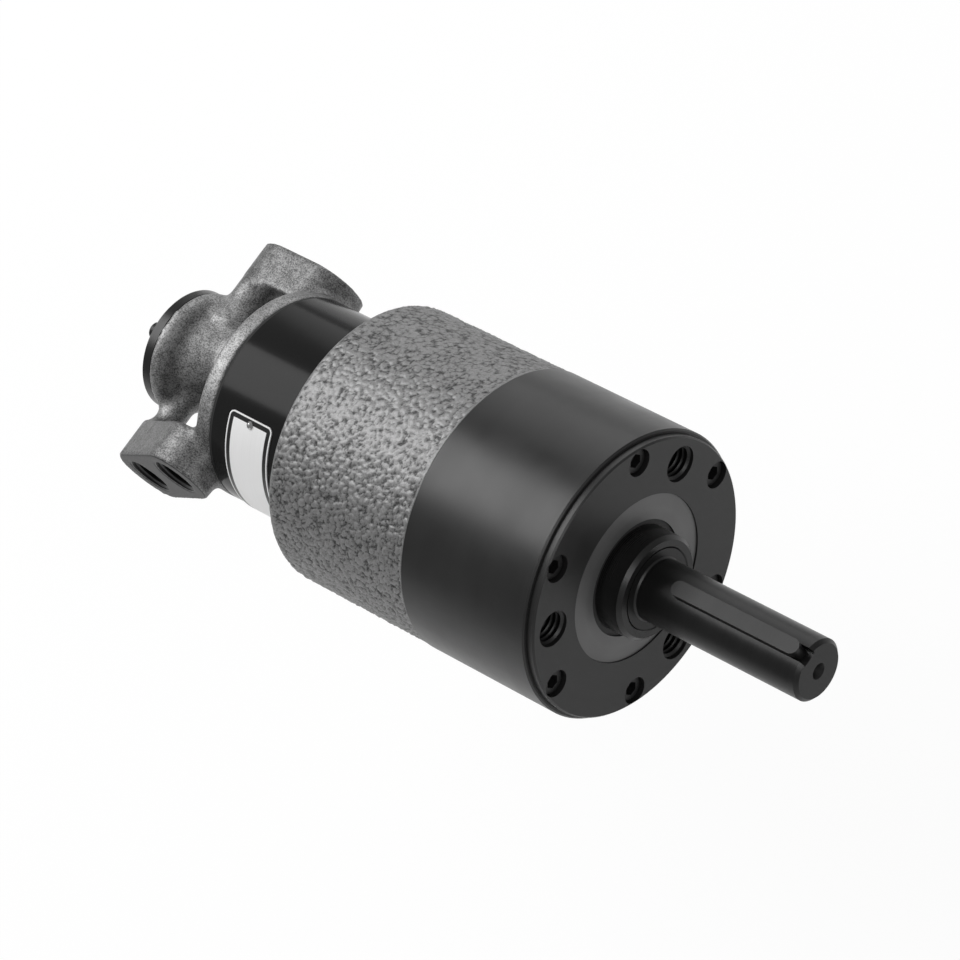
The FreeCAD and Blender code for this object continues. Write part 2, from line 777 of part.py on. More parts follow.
shaft_key = new_body("shaft_key")
sketch = radial_sketch(shaft_key, s.key_start + s.key_length / 2 + s.press_gap, s.key_clock, key_floor)
draw_slot(sketch, s.key_length / 2 - half_key, half_key)
pad(shaft_key, sketch, s.key_height)

turned("pilot_bush", [
    (flange_rear, s.nose_radius + s.running_fit),
    (flange_rear, s.pilot_bush_radius - s.press_gap),
    (flange_rear + s.nose_length, s.pilot_bush_radius - s.press_gap),
    (flange_rear + s.nose_length, s.nose_radius + s.running_fit),
])

carrier_plate = turned("carrier_plate", [
    (ring_rear, s.carrier_plate_bore),
    (ring_rear, carrier_radius),
    (plate_rear, carrier_radius),
    (plate_rear, s.carrier_plate_bore),
])
drill(carrier_plate, ring_rear, planet_circle, 0, pin_hole_radius, s.carrier_plate_thickness, s.planet_count)
drill(carrier_plate, ring_rear, post_circle, planet_step / 2, s.carrier_screw_radius + s.slip_fit,
      s.carrier_plate_thickness, s.planet_count)
drill(carrier_plate, plate_rear, post_circle, planet_step / 2, s.carrier_screw_head_radius + s.slip_fit,
      s.carrier_screw_head_height, s.planet_count, forward=True)
head_seat = plate_rear + s.carrier_screw_head_height
screws("carrier_screws", head_seat, post_circle, planet_step / 2, s.planet_count, s.carrier_screw_radius,
       ring_rear + s.carrier_screw_length - s.side_play - head_seat, s.carrier_screw_head_radius,
       s.carrier_screw_head_height, (s.carrier_screw_radius * 1.33, s.carrier_screw_head_height / 2), True)

planet_pins = new_body("planet_pins")
sketch = sketch_on(planet_pins, "YZ_Plane", (0, 0, plate_rear + s.planet_pin_inset))
draw_circle(sketch, planet_circle, 0, s.planet_pin_radius)
pins = pad(planet_pins, sketch, flange_front - plate_rear - 2 * s.planet_pin_inset)
ring_of(planet_pins, [pins], s.planet_count)


# ---------------------------------------------------------------- gears
def involute_flank(teeth, module, pressure, tip, root_radius, thinning):
    """Half-angle of a tooth at a few radii from root to tip, as (radius, angle) pairs."""
    pitch = module * teeth / 2
    base = pitch * math.cos(pressure)
    half = math.pi / 2 / teeth - thinning / 2 / pitch + math.tan(pressure) - pressure
    flank = [(root_radius, half)] if root_radius < base else []
    start = max(base, root_radius)
    for step in range(4):
        radius = start + (tip - start) * step / 3
        roll = math.acos(min(1.0, base / radius))
        flank.append((radius, half - (math.tan(roll) - roll)))
    return flank


def gear_wire(teeth, addendum, dedendum, thinning, phase):
    """The closed outline of a gear in the YZ plane; a negative addendum makes a ring gear's space."""
    module = gear_module.value
    pitch = module * teeth / 2
    pressure = math.radians(s.pressure_angle.value)
    flank = involute_flank(teeth, module, pressure, pitch + addendum, pitch - dedendum, thinning)
    points = []
    for tooth in range(teeth):
        middle = 2 * math.pi * tooth / teeth + phase
        for radius, half in flank:
            points.append((radius, middle - half))
        for radius, half in reversed(flank):
            points.append((radius, middle + half))
    corners = [Vector(0, radius * math.cos(angle), radius * math.sin(angle)) for radius, angle in points]
    return Part.makePolygon(corners + corners[:1])


def gear_feature(label, face, front, back, centre=(0, 0)):
    item = doc.addObject("Part::Feature", label)
    item.Shape = face.extrude(Vector(front.value - back.value, 0, 0))
    move(item, back, *centre)
    return keep(item, label)


def outer_gear(label, teeth, bore, phase, centre=(0, 0)):
    module = gear_module.value
    wire = gear_wire(int(teeth.value), module, 1.25 * module, s.tooth_backlash.value, phase)
    hole = Part.Wire(Part.makeCircle(bore.value, Vector(0, 0, 0), Vector(1, 0, 0)))
    return gear_feature(label, Part.makeFace([wire, hole], "Part::FaceMakerBullseye"), gear_front, gear_rear, centre)


sun_phase = 0.0 if int(s.planet_teeth.value) % 2 else math.pi / int(s.sun_teeth.value)
outer_gear("sun_gear", s.sun_teeth, s.sun_seat_radius + s.press_gap, sun_phase)
planet_ratio = ring_teeth.value / s.planet_teeth.value
for number in range(int(s.planet_count.value)):
    clock = number * planet_step
    centre = circle_point(planet_circle, clock)
    phase = math.radians(clock.value) * (1 - planet_ratio)
    outer_gear("planet_gear_%d" % (number + 1), s.planet_teeth, s.planet_bush_radius, phase, centre)
    turned("planet_bush_%d" % (number + 1), [
        (gear_front, s.planet_pin_radius + s.running_fit),
        (gear_front, s.planet_bush_radius - s.press_gap),
        (gear_rear, s.planet_bush_radius - s.press_gap),
        (gear_rear, s.planet_pin_radius + s.running_fit),
    ], (0, *centre))

module = gear_module.value
spaces = gear_wire(int(ring_teeth.value), 1.25 * module, 0.8 * module, -s.tooth_backlash.value, 0.0)
rim = Part.Wire(Part.makeCircle(hub_radius.value, Vector(0, 0, 0), Vector(1, 0, 0)))
gear_feature("ring_gear", Part.makeFace([rim, spaces], "Part::FaceMakerBullseye"), ring_front, ring_rear)

# ---------------------------------------------------------------- motor housing and bearing plate
turned("bearing_plate", [
    (wall_front, s.front_bush_radius),
    (wall_front, hub_radius),
    (housing_front, hub_radius),
    (housing_front, housing_seat_radius - s.slip_fit),
    (wall_rear, housing_seat_radius - s.slip_fit),
    (wall_rear, s.front_bush_radius),
])
turned("crank_front_bush", [
    (wall_front, s.crank_radius + s.running_fit),
    (wall_front, s.front_bush_radius - s.press_gap),
    (wall_rear, s.front_bush_radius - s.press_gap),
    (wall_rear, s.crank_radius + s.running_fit),
])

motor_housing = turned("motor_housing", [
    (housing_front, housing_seat_radius),
    (housing_front, s.case_radius),
    (housing_rear, s.case_radius),
    (housing_rear, block_spigot_radius + s.slip_fit),
    (rear_wall_front, block_spigot_radius + s.slip_fit),
    (rear_wall_front, housing_cavity_radius),
    (wall_rear, housing_cavity_radius),
    (wall_rear, housing_seat_radius),
])
soften(motor_housing, s.housing_shoulder_round, lambda edge: is_ring(edge, housing_rear, s.case_radius))
drill(motor_housing, housing_front, case_screw_circle, s.face_clock, s.case_screw_radius + s.press_gap,
      s.case_screw_grip + s.side_play, s.case_screw_count)
guide_clock = s.face_clock + 90
guide_throw = guide_pin_reach * sind(s.wobble_tilt)
slot_half_width = s.guide_pin_radius + s.guide_slot_play
slot_tail = s.guide_pin_radius + s.guide_slot_play
slot_rear = wobble_x - guide_throw - slot_tail
sketch = radial_sketch(motor_housing, 0, guide_clock, guide_slot_radius)
draw_outline(sketch, [
    (slot_rear, -slot_half_width),
    (housing_front, -slot_half_width),
    (housing_front, slot_half_width),
    (slot_rear, slot_half_width),
])
pocket(motor_housing, sketch, guide_slot_radius - housing_cavity_radius / 2)

# ---------------------------------------------------------------- crankshaft and wobble plate
drive_tip = head_face - s.side_play - s.drive_grip
crankshaft = turned("crankshaft", [
    (gear_front + s.nose_length, 0),
    (gear_front + s.nose_length, s.nose_radius - s.edge_break),
    (gear_front + s.nose_length - s.edge_break, s.nose_radius),
    (gear_front, s.nose_radius),
    (gear_front, s.sun_seat_radius),
    (gear_rear, s.sun_seat_radius),
    (gear_rear, s.crank_radius),
    (web_front, s.crank_radius),
    (web_front, s.web_radius),
    (web_rear, s.web_radius),
    (web_rear, s.rear_shaft_radius),
    (rear_bush_rear, s.rear_shaft_radius),
    (rear_bush_rear, s.drive_radius),
    (drive_tip, s.drive_radius),
    (drive_tip, 0),
])
sketch = sketch_on(crankshaft, "YZ_Plane", (0, 0, web_front))
draw_outline(sketch, [
    (-s.web_radius, s.web_flat_height),
    (s.web_radius, s.web_flat_height),
    (s.web_radius, s.web_radius),
    (-s.web_radius, s.web_radius),
])
pocket(crankshaft, sketch, s.web_thickness)
shoulder_front = (web_front - web_rear) / 2 + web_rear - wobble_x
hub_end = s.wobble_hub_length / 2
shoulder_seat = hub_end + s.side_play
ring_seat = -hub_end - s.side_play
inclined_tail = ring_seat - s.journal_ring_width - 1.2
sketch = sketch_on(crankshaft, "XZ_Plane", (wobble_x, 0, 0), Vector(0, 0, 1), s.wobble_tilt)
draw_outline(sketch, [
    (shoulder_front, 0),
    (shoulder_front, s.inclined_shoulder_radius),
    (shoulder_seat, s.inclined_shoulder_radius),
    (shoulder_seat, s.inclined_radius),
    (inclined_tail, s.inclined_radius),
    (inclined_tail, 0),
])
revolve(crankshaft, sketch)
sketch = sketch_on(crankshaft, "XZ_Plane", (wobble_x, 0, 0), Vector(0, 0, 1), s.wobble_tilt)
draw_outline(sketch, [
    (ring_seat, s.journal_ring_groove_radius),
    (ring_seat, s.inclined_radius * 1.1),
    (ring_seat - s.journal_ring_width, s.inclined_radius * 1.1),
    (ring_seat - s.journal_ring_width, s.journal_ring_groove_radius),
])
groove(crankshaft, sketch)


def tilted(body):
    """Set a piece that was drawn on the shaft axis onto the inclined journal."""
    move(body, wobble_x, 0, 0, Vector(0, 1, 0), -s.wobble_tilt)


wobble_plate = turned("wobble_plate", [
    (hub_end, s.wobble_bush_radius),
    (hub_end, s.wobble_hub_radius),
    (s.wobble_plate_thickness / 2, s.wobble_hub_radius),
    (s.wobble_plate_thickness / 2, wobble_plate_radius),
    (-s.wobble_plate_thickness / 2, wobble_plate_radius),
    (-s.wobble_plate_thickness / 2, s.wobble_hub_radius),
    (-hub_end, s.wobble_hub_radius),
    (-hub_end, s.wobble_bush_radius),
])
drill(wobble_plate, s.wobble_plate_thickness / 2, piston_circle, s.piston_clock, s.rod_hole_radius,
      s.wobble_plate_thickness, s.piston_count)
pin_foot = wobble_plate_radius - 1
sketch = radial_sketch(wobble_plate, 0, guide_clock, pin_foot)
draw_circle(sketch, 0, 0, s.guide_pin_radius)
pad(wobble_plate, sketch, guide_pin_reach - pin_foot)
tilted(wobble_plate)
tilted(turned("wobble_bush", [
    (hub_end, s.inclined_radius + s.running_fit),
    (hub_end, s.wobble_bush_radius - s.press_gap),
    (-hub_end, s.wobble_bush_radius - s.press_gap),
    (-hub_end, s.inclined_radius + s.running_fit),
]))
ring_play = s.press_gap
tilted(turned("journal_ring", [
    (ring_seat - ring_play, s.journal_ring_groove_radius + ring_play),
    (ring_seat - ring_play, s.journal_ring_radius),
    (ring_seat - s.journal_ring_width + ring_play, s.journal_ring_radius),
    (ring_seat - s.journal_ring_width + ring_play, s.journal_ring_groove_radius + ring_play),
]))

turned("crank_rear_bush", [
    (spigot_front, s.rear_shaft_radius + s.running_fit),
    (spigot_front, s.rear_bush_radius - s.press_gap),
    (rear_bush_rear, s.rear_bush_radius - s.press_gap),
    (rear_bush_rear, s.rear_shaft_radius + s.running_fit),
])

# ---------------------------------------------------------------- cylinder block
cylinder_block = turned("cylinder_block", [
    (spigot_front, s.rear_bush_radius),
    (spigot_front, block_spigot_radius),
    (housing_rear, block_spigot_radius),
    (housing_rear, block_radius),
    (block_rear, block_radius),
    (block_rear, s.block_bore_radius),
    (rear_bush_rear, s.block_bore_radius),
    (rear_bush_rear, s.rear_bush_radius),
])
drill(cylinder_block, spigot_front, piston_circle, s.piston_clock, s.cylinder_radius,
      spigot_front - block_rear, s.piston_count)
port_screw_clocks = [s.piston_clock + 180 / s.piston_count + 360 / s.piston_count * step for step in (0, 1, 3)]
for clock in port_screw_clocks:
    drill(cylinder_block, block_rear, port_screw_circle, clock, s.port_screw_radius + s.press_gap,
          s.port_screw_length, forward=True)
plate_middle = housing_rear - s.nameplate_front - s.nameplate_width / 2
rivet_clocks = [s.nameplate_clock + s.drive_screw_inset,
                s.nameplate_clock + s.nameplate_arc - s.drive_screw_inset]
rivet_seat = block_radius + s.press_gap + s.nameplate_thickness
for clock in rivet_clocks:
    sketch = radial_sketch(cylinder_block, plate_middle, clock, block_radius + 1)
    draw_circle(sketch, 0, 0, s.drive_screw_radius + s.press_gap)
    pocket(cylinder_block, sketch, s.drive_screw_length + 1)

turned("block_nut", [
    (rear_wall_front + s.block_nut_width, block_spigot_radius + s.press_gap),
    (rear_wall_front + s.block_nut_width, block_nut_radius),
    (rear_wall_front, block_nut_radius),
    (rear_wall_front, block_spigot_radius + s.press_gap),
])

block_gasket = turned("block_gasket", [
    (block_rear, s.gasket_bore_radius),
    (block_rear, block_radius),
    (head_face, block_radius),
    (head_face, s.gasket_bore_radius),
])
drill(block_gasket, block_rear, piston_circle, s.piston_clock, s.cylinder_radius, s.gasket_thickness,
      s.piston_count)
for clock in port_screw_clocks:
    drill(block_gasket, block_rear, port_screw_circle, clock, s.port_screw_hole_radius, s.gasket_thickness)

nameplate = new_body("nameplate")
sketch = sketch_on(nameplate, "XY_Plane")
plate_front = housing_rear - s.nameplate_front
draw_outline(sketch, [
    (plate_front, block_radius + s.press_gap),
    (plate_front, rivet_seat),
    (plate_front - s.nameplate_width, rivet_seat),
    (plate_front - s.nameplate_width, block_radius + s.press_gap),
])
revolve(nameplate, sketch, angle=s.nameplate_arc)
for clock in (s.drive_screw_inset, s.nameplate_arc - s.drive_screw_inset):
    sketch = radial_sketch(nameplate, plate_middle, clock, rivet_seat + 1)
    draw_circle(sketch, 0, 0, s.drive_screw_radius + s.slip_fit)
    pocket(nameplate, sketch, s.nameplate_thickness + 2)
soften(nameplate, s.nameplate_round,
       lambda edge: abs(edge.Length - s.nameplate_thickness.value) < 1e-6 and isinstance(edge.Curve, Part.Line))
move(nameplate, 0, 0, 0, Vector(1, 0, 0), s.nameplate_clock)

drive_screws = new_body("drive_screws")
sketch = sketch_on(drive_screws, "XY_Plane", (plate_middle, 0, 0))
draw_outline(sketch, [
    (0, rivet_seat + s.drive_screw_head_height),
    (s.drive_screw_head_radius * 0.6, rivet_seat + s.drive_screw_head_height * 0.8),
    (s.drive_screw_head_radius, rivet_seat + s.drive_screw_head_height * 0.25),
    (s.drive_screw_head_radius, rivet_seat),
    (s.drive_screw_radius, rivet_seat),
    (s.drive_screw_radius, block_radius - s.drive_screw_length + s.side_play),
    (0, block_radius - s.drive_screw_length + s.side_play),
])
stud = revolve(drive_screws, sketch, "V_Axis")
ring_of(drive_screws, [stud], 2, s.nameplate_arc - 2 * s.drive_screw_inset)
move(drive_screws, 0, 0, 0, Vector(1, 0, 0), rivet_clocks[0])

# ---------------------------------------------------------------- pistons and connecting rods
piston_rear_mean = head_face + s.gasket_thickness + s.piston_head_room + stroke
foot_mean = piston_rear_mean + s.piston_length - s.piston_socket_depth + s.rod_foot_radius
rod_length = wobble_x - foot_mean
piston_radius = s.cylinder_radius - s.running_fit
groove_floor = piston_radius - s.ring_depth
for number in range(int(s.piston_count.value)):
    clock = s.piston_clock + number * 360 / s.piston_count
    place = circle_point(piston_circle, clock)
    lift = -place[1] * sind(s.wobble_tilt)
    rear = piston_rear_mean + lift
    front = rear + s.piston_length
    ring_edges = []
    for turn in range(2):
        edge = rear + s.ring_width + turn * s.ring_spacing
        ring_edges += [
            (edge, piston_radius),
            (edge, groove_floor),
            (edge + s.ring_width, groove_floor),
            (edge + s.ring_width, piston_radius),
        ]
    turned("piston_%d" % (number + 1), [
        (rear, 0),
        (rear, piston_radius),
        *ring_edges,
        (front, piston_radius),
        (front, s.piston_socket_radius),
        (front - s.piston_socket_depth + s.rod_foot_radius * 2, s.piston_socket_radius),
        (front - s.piston_socket_depth + s.rod_foot_radius, s.rod_foot_radius + s.press_gap),
        (front - s.piston_socket_depth, s.rod_foot_radius + s.press_gap),
        (front - s.piston_socket_depth, 0),
    ], (0, *place))
    rings = new_body("piston_rings_%d" % (number + 1))
    sketch = sketch_on(rings, "XY_Plane")
    edge = rear + s.ring_width + s.press_gap
    draw_outline(sketch, [
        (edge, groove_floor + s.press_gap),
        (edge, s.cylinder_radius - s.running_fit / 2),
        (edge + s.ring_width - 2 * s.press_gap, s.cylinder_radius - s.running_fit / 2),
        (edge + s.ring_width - 2 * s.press_gap, groove_floor + s.press_gap),
    ])
    first = revolve(rings, sketch)
    sketch = sketch_on(rings, "XY_Plane", (s.ring_spacing, 0, 0))
    draw_outline(sketch, [
        (edge, groove_floor + s.press_gap),
        (edge, s.cylinder_radius - s.running_fit / 2),
        (edge + s.ring_width - 2 * s.press_gap, s.cylinder_radius - s.running_fit / 2),
        (edge + s.ring_width - 2 * s.press_gap, groove_floor + s.press_gap),
    ])
    revolve(rings, sketch)
    move(rings, 0, *place)
    label = "piston_rod_%d" % (number + 1)
    head = doc.addObject("Part::Sphere", label + "_ball")
    bind(head, "Radius", s.rod_ball_radius)
    move(head, wobble_x + lift, *place)
    foot = doc.addObject("Part::Sphere", label + "_foot")
    bind(foot, "Radius", s.rod_foot_radius)
    move(foot, foot_mean + lift, *place)
    stem = doc.addObject("Part::Cylinder", label + "_stem")
    bind(stem, "Radius", s.rod_radius)
    bind(stem, "Height", rod_length)
    move(stem, foot_mean + lift, *place, Vector(0, 1, 0), 90)
    rod = doc.addObject("Part::MultiFuse", label)
    rod.Shapes = [head, stem, foot]
    keep(rod, label)

# ---------------------------------------------------------------- port housing casting
disc_front = barrel_rear + s.disc_thickness
exhaust_x = head_face - s.exhaust_boss_centre
exhaust_port_x = head_face - s.exhaust_port_centre
exhaust_neck_x = head_face - s.exhaust_neck_centre
inlet_x = head_face - s.inlet_boss_centre
inlet_neck_x = head_face - s.inlet_neck_centre
port_housing = turned("port_housing", [
    (head_face, 0),
    (head_face, flange_radius - s.edge_break),
    (head_face - s.edge_break, flange_radius),
    (flange_back + s.edge_break, flange_radius),
    (flange_back, flange_radius - s.edge_break),
    (flange_back, s.valve_bore_radius * 1.2),
    (disc_front, s.valve_bore_radius * 1.2),
    (disc_front, s.disc_radius),
    (barrel_rear, s.disc_radius),
    (barrel_rear, 0),
])
sketch = sketch_on(port_housing, "YZ_Plane", (0, 0, flange_back))
draw_circle(sketch, s.waist_offset, 0, s.waist_radius)
pad(port_housing, sketch, flange_back - disc_front, True)


def is_waist_end(edge, x):
    """Whether an edge is the circle where the waist meets a flat face."""
    curve = edge.Curve
    if not isinstance(curve, Part.Circle):
        return False
    at = (abs(curve.Center.x - x.value), abs(curve.Center.y - s.waist_offset.value))
    return max(at) < 1e-6 and abs(curve.Radius - s.waist_radius.value) < 1e-6


soften(port_housing, s.waist_round, lambda edge: is_waist_end(edge, flange_back))
soften(port_housing, s.disc_radius - s.waist_offset - s.waist_radius - s.waist_edge,
       lambda edge: is_waist_end(edge, disc_front))


def neck(x, z, radius, side, top):
    """A round column along Y from the waist to the underside of a boss."""
    sketch = sketch_on(port_housing, "XZ_Plane", (0, 0, side * s.valve_bore_radius))
    draw_circle(sketch, x, z, radius)
    pad(port_housing, sketch, top - s.valve_bore_radius, side < 0)


neck(inlet_neck_x, s.inlet_neck_offset, s.inlet_neck_radius, 1, inlet_boss_underside)
sketch = sketch_on(port_housing, "XZ_Plane", (0, 0, inlet_boss_underside))
draw_slot(sketch, s.inlet_boss_half_length, s.inlet_boss_radius, (inlet_x, 0), s.inlet_boss_clock)
pad(port_housing, sketch, boss_reach - inlet_boss_underside)
neck(exhaust_neck_x, s.exhaust_neck_offset, s.exhaust_neck_radius, -1, exhaust_boss_underside)
sketch = sketch_on(port_housing, "XZ_Plane", (0, 0, -exhaust_boss_underside))
draw_slot(sketch, s.exhaust_boss_half_length, s.exhaust_boss_radius, (exhaust_x, 0))
pad(port_housing, sketch, boss_reach - exhaust_boss_underside, True)
sketch = sketch_on(port_housing, "XY_Plane")
draw_outline(sketch, [
    (head_face + 3, flange_radius),
    (head_face + 3, flange_radius + s.exhaust_gap),
    (flange_back, flange_radius + s.exhaust_gap),
    (flange_back, flange_radius),
])
groove(port_housing, sketch)
# the bosses stop at the gasket face, the back is flat, and the valve bore runs clear through
sketch = sketch_on(port_housing, "XY_Plane")
draw_outline(sketch, [
    (head_face + 8, 0),
    (head_face + 8, boss_reach),
    (head_face, boss_reach),
    (head_face, s.valve_bore_radius),
    (barrel_rear, s.valve_bore_radius),
    (barrel_rear, s.disc_radius),
    (barrel_rear - s.disc_thickness, s.disc_radius),
    (barrel_rear - s.disc_thickness, 0),
])
groove(port_housing, sketch)
sketch = sketch_on(port_housing, "YZ_Plane", (0, 0, head_face))
slot_half = s.head_slot_width / 2
slot_ends = []
for out, across in ((0, -1), (1, -1), (1, 1), (0, 1)):
    along = out * head_slot_reach
    slot_ends.append((along * cosd(s.piston_clock) - across * slot_half * sind(s.piston_clock),
                      along * sind(s.piston_clock) + across * slot_half * cosd(s.piston_clock)))
draw_outline(sketch, slot_ends)
head_slot = pocket(port_housing, sketch, s.head_slot_depth)
ring_of(port_housing, [head_slot], s.piston_count)
for clock in port_screw_clocks:
    drill(port_housing, head_face, port_screw_circle, clock, s.port_screw_hole_radius, s.flange_thickness)
    drill(port_housing, flange_back, port_screw_circle, clock, s.port_screw_recess_radius,
          s.port_screw_head_height, forward=True)
drill(port_housing, barrel_rear, s.rear_screw_circle, s.rear_screw_clock, s.rear_screw_radius + s.press_gap,
      s.rear_screw_length, s.rear_screw_count, forward=True)


def port(side, x, z, radius, depth, passage, floor):
    """A pipe port on a boss face, with its passage straight in to a floor radius."""
    sketch = sketch_on(port_housing, "XY_Plane", (x, 0, z))
    mouth = side * boss_reach
    bottom = side * (boss_reach - depth)
    draw_outline(sketch, [
        (0, mouth),
        (radius + s.port_chamfer, mouth),
        (radius, mouth - side * s.port_chamfer),
        (radius, bottom),
        (passage, bottom),
        (passage, side * floor),
        (0, side * floor),
    ])
    groove(port_housing, sketch, "V_Axis")


port(1, exhaust_port_x, 0, s.exhaust_port_radius, s.exhaust_port_depth, s.exhaust_passage_radius,
     boss_reach - s.exhaust_port_depth - 0.5)
inlet_floor = boss_reach - s.inlet_port_depth - 0.5
inlet_places = [(inlet_x + side * s.inlet_port_half_spacing * cosd(s.inlet_boss_clock),
                 side * s.inlet_port_half_spacing * sind(s.inlet_boss_clock)) for side in (-1, 1)]
for x, z in inlet_places:
    port(-1, x, z, s.inlet_port_radius, s.inlet_port_depth, s.inlet_passage_radius, inlet_floor)
# the rear inlet and the exhaust run through the necks
sketch = sketch_on(port_housing, "XZ_Plane", (0, 0, boss_reach - s.inlet_port_depth))
draw_circle(sketch, inlet_neck_x, s.inlet_neck_offset, s.inlet_passage_radius)
pocket(port_housing, sketch, boss_reach - s.inlet_port_depth - s.valve_bore_radius / 2)
sketch = sketch_on(port_housing, "XZ_Plane", (0, 0, s.exhaust_port_depth - boss_reach))
draw_circle(sketch, exhaust_neck_x, s.exhaust_neck_offset, s.exhaust_passage_radius)
pocket(port_housing, sketch, boss_reach - s.exhaust_port_depth - s.valve_bore_radius / 2, True)
# the front inlet turns forward into the flange and then down to the valve
link_x = (head_face - s.head_slot_depth + flange_back) / 2
link_height = boss_reach - s.inlet_port_depth + s.inlet_passage_radius
sketch = sketch_on(port_housing, "YZ_Plane", (0, 0, inlet_places[1][0]))
draw_circle(sketch, -link_height, s.inlet_link_offset, s.inlet_passage_radius)
pocket(port_housing, sketch, link_x - inlet_places[1][0] + 1, True)
sketch = sketch_on(port_housing, "XZ_Plane", (0, 0, link_height))
draw_circle(sketch, link_x, s.inlet_link_offset, (flange_back - head_face + s.head_slot_depth) * -0.35)
pocket(port_housing, sketch, link_height - s.valve_bore_radius / 2)

low_socket = (s.port_screw_radius * 1.33, s.port_screw_head_height / 2)
port_screws = new_body("port_screws")
for clock in port_screw_clocks:
    sketch = sketch_on(port_screws, "XY_Plane", (flange_back, *circle_point(port_screw_circle, clock)))
    draw_outline(sketch, [
        (0, 0),
        (0, s.port_screw_head_radius),
        (s.port_screw_head_height, s.port_screw_head_radius),
        (s.port_screw_head_height, s.port_screw_radius),
        (block_rear - flange_back + s.port_screw_length - s.side_play, s.port_screw_radius),
        (block_rear - flange_back + s.port_screw_length - s.side_play, 0),
    ])
    revolve(port_screws, sketch)

# ---------------------------------------------------------------- rotary valve and rear cover
valve_front = head_face - s.side_play
valve_rear = spigot_tip + s.side_play
valve_radius = s.valve_bore_radius - s.running_fit
valve_floor = valve_radius - s.valve_groove_depth
half_groove = s.valve_groove_width / 2
grooves = []
for middle in (exhaust_neck_x, inlet_neck_x):
    grooves += [
        (middle + half_groove, valve_radius),
        (middle + half_groove, valve_floor),
        (middle - half_groove, valve_floor),
        (middle - half_groove, valve_radius),
    ]
valve_spool = turned("valve_spool", [
    (valve_front, s.drive_radius + s.press_gap),
    (valve_front, valve_radius),
    *grooves,
    (valve_rear, valve_radius),
    (valve_rear, 0),
    (drive_tip - s.side_play, 0),
    (drive_tip - s.side_play, s.drive_radius + s.press_gap),
])
for side in (-1, 1):
    sketch = sketch_on(valve_spool, "YZ_Plane", (0, 0, valve_front))
    draw_outline(sketch, [
        (-s.valve_pocket_width / 2, side * s.valve_pocket_floor),
        (s.valve_pocket_width / 2, side * s.valve_pocket_floor),
        (s.valve_pocket_width / 2, side * s.valve_bore_radius),
        (-s.valve_pocket_width / 2, side * s.valve_bore_radius),
    ])
    pocket(valve_spool, sketch, s.valve_pocket_depth)

rear_cover = turned("rear_cover", [
    (cover_back, 0),
    (cover_back, s.rear_cover_radius - s.edge_break),
    (cover_back + s.edge_break, s.rear_cover_radius),
    (barrel_rear, s.rear_cover_radius),
    (barrel_rear, s.valve_bore_radius - s.slip_fit),
    (spigot_tip, s.valve_bore_radius - s.slip_fit),
    (spigot_tip, 0),
])
drill(rear_cover, cover_back, s.rear_screw_circle, s.rear_screw_clock, s.rear_screw_radius + s.slip_fit,
      s.rear_cover_thickness, s.rear_screw_count, forward=True)
screws("rear_cover_screws", cover_back, s.rear_screw_circle, s.rear_screw_clock, s.rear_screw_count,
       s.rear_screw_radius, s.rear_cover_thickness + s.rear_screw_length - s.side_play, s.rear_screw_head_radius,
       s.rear_screw_head_height, (s.rear_screw_radius * 1.33, s.rear_screw_head_height / 2), True)

# ---------------------------------------------------------------- checks and files
doc.recompute()
failed = [item.Name for item in doc.Objects if "Invalid" in item.State or "Error" in item.State]
if failed:
    raise RuntimeError("failed objects: " + ", ".join(failed))
for node in nodes:
    if node.Shape.isNull() or not node.Shape.isValid() or not node.Shape.Solids:
        raise RuntimeError("bad shape: " + node.Label)
os.makedirs("parts", exist_ok=True)
for node in nodes:
    node.Shape.exportStep("parts/" + node.Label + ".step")
    print("%-20s %d solid(s) %10.1f mm3" % (node.Label, len(node.Shape.Solids), node.Shape.Volume))
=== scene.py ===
import json
import logging
import math
from dataclasses import dataclass, field
from enum import Enum
from typing import Any, Dict, Iterator, List, Sequence, Tuple, Union

import bmesh
import bpy
from mathutils import Euler, Matrix, Vector, noise


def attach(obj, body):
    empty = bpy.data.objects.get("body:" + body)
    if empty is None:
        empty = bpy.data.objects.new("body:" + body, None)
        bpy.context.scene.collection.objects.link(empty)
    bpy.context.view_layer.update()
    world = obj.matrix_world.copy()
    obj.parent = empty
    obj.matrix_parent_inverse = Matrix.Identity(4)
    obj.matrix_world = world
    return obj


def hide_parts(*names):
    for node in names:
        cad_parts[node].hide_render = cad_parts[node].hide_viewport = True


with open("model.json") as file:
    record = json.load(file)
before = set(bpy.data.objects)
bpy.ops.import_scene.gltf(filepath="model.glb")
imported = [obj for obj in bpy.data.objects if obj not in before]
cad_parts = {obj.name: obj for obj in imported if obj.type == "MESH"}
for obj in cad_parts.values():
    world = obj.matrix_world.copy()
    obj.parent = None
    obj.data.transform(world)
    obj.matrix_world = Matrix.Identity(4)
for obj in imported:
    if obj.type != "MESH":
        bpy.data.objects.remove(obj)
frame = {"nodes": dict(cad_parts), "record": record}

log = logging.getLogger("air_motor")

# Lengths are in millimetres in the part's own frame, unless a name or a docstring says metres.
MM = 0.001
PER_METRE = 1000.0
TINY = 1e-6
BODY = "housing"
CASTING_SLOT = "cast_alloy"
CASE_SLOT = "case_black"
BOSS_FACE = 39.1
INLET_RADIUS = 6.6
EXHAUST_RADIUS = 8.35
EXHAUST_X = -166.0


@dataclass(frozen=True)
class Port:
    """A pipe port of the casting: its axis, its side and its radii in millimetres."""

    x: float
    z: float
    side: float
    radius: float
    # shade: radius of the painted shade inside the bore.
    shade: float


PORTS = (
    Port(-171.79, -7.11, -1.0, INLET_RADIUS, 7.1),
    Port(-152.21, 7.11, -1.0, INLET_RADIUS, 7.1),
    Port(EXHAUST_X, 0.0, 1.0, EXHAUST_RADIUS, 8.8),
)


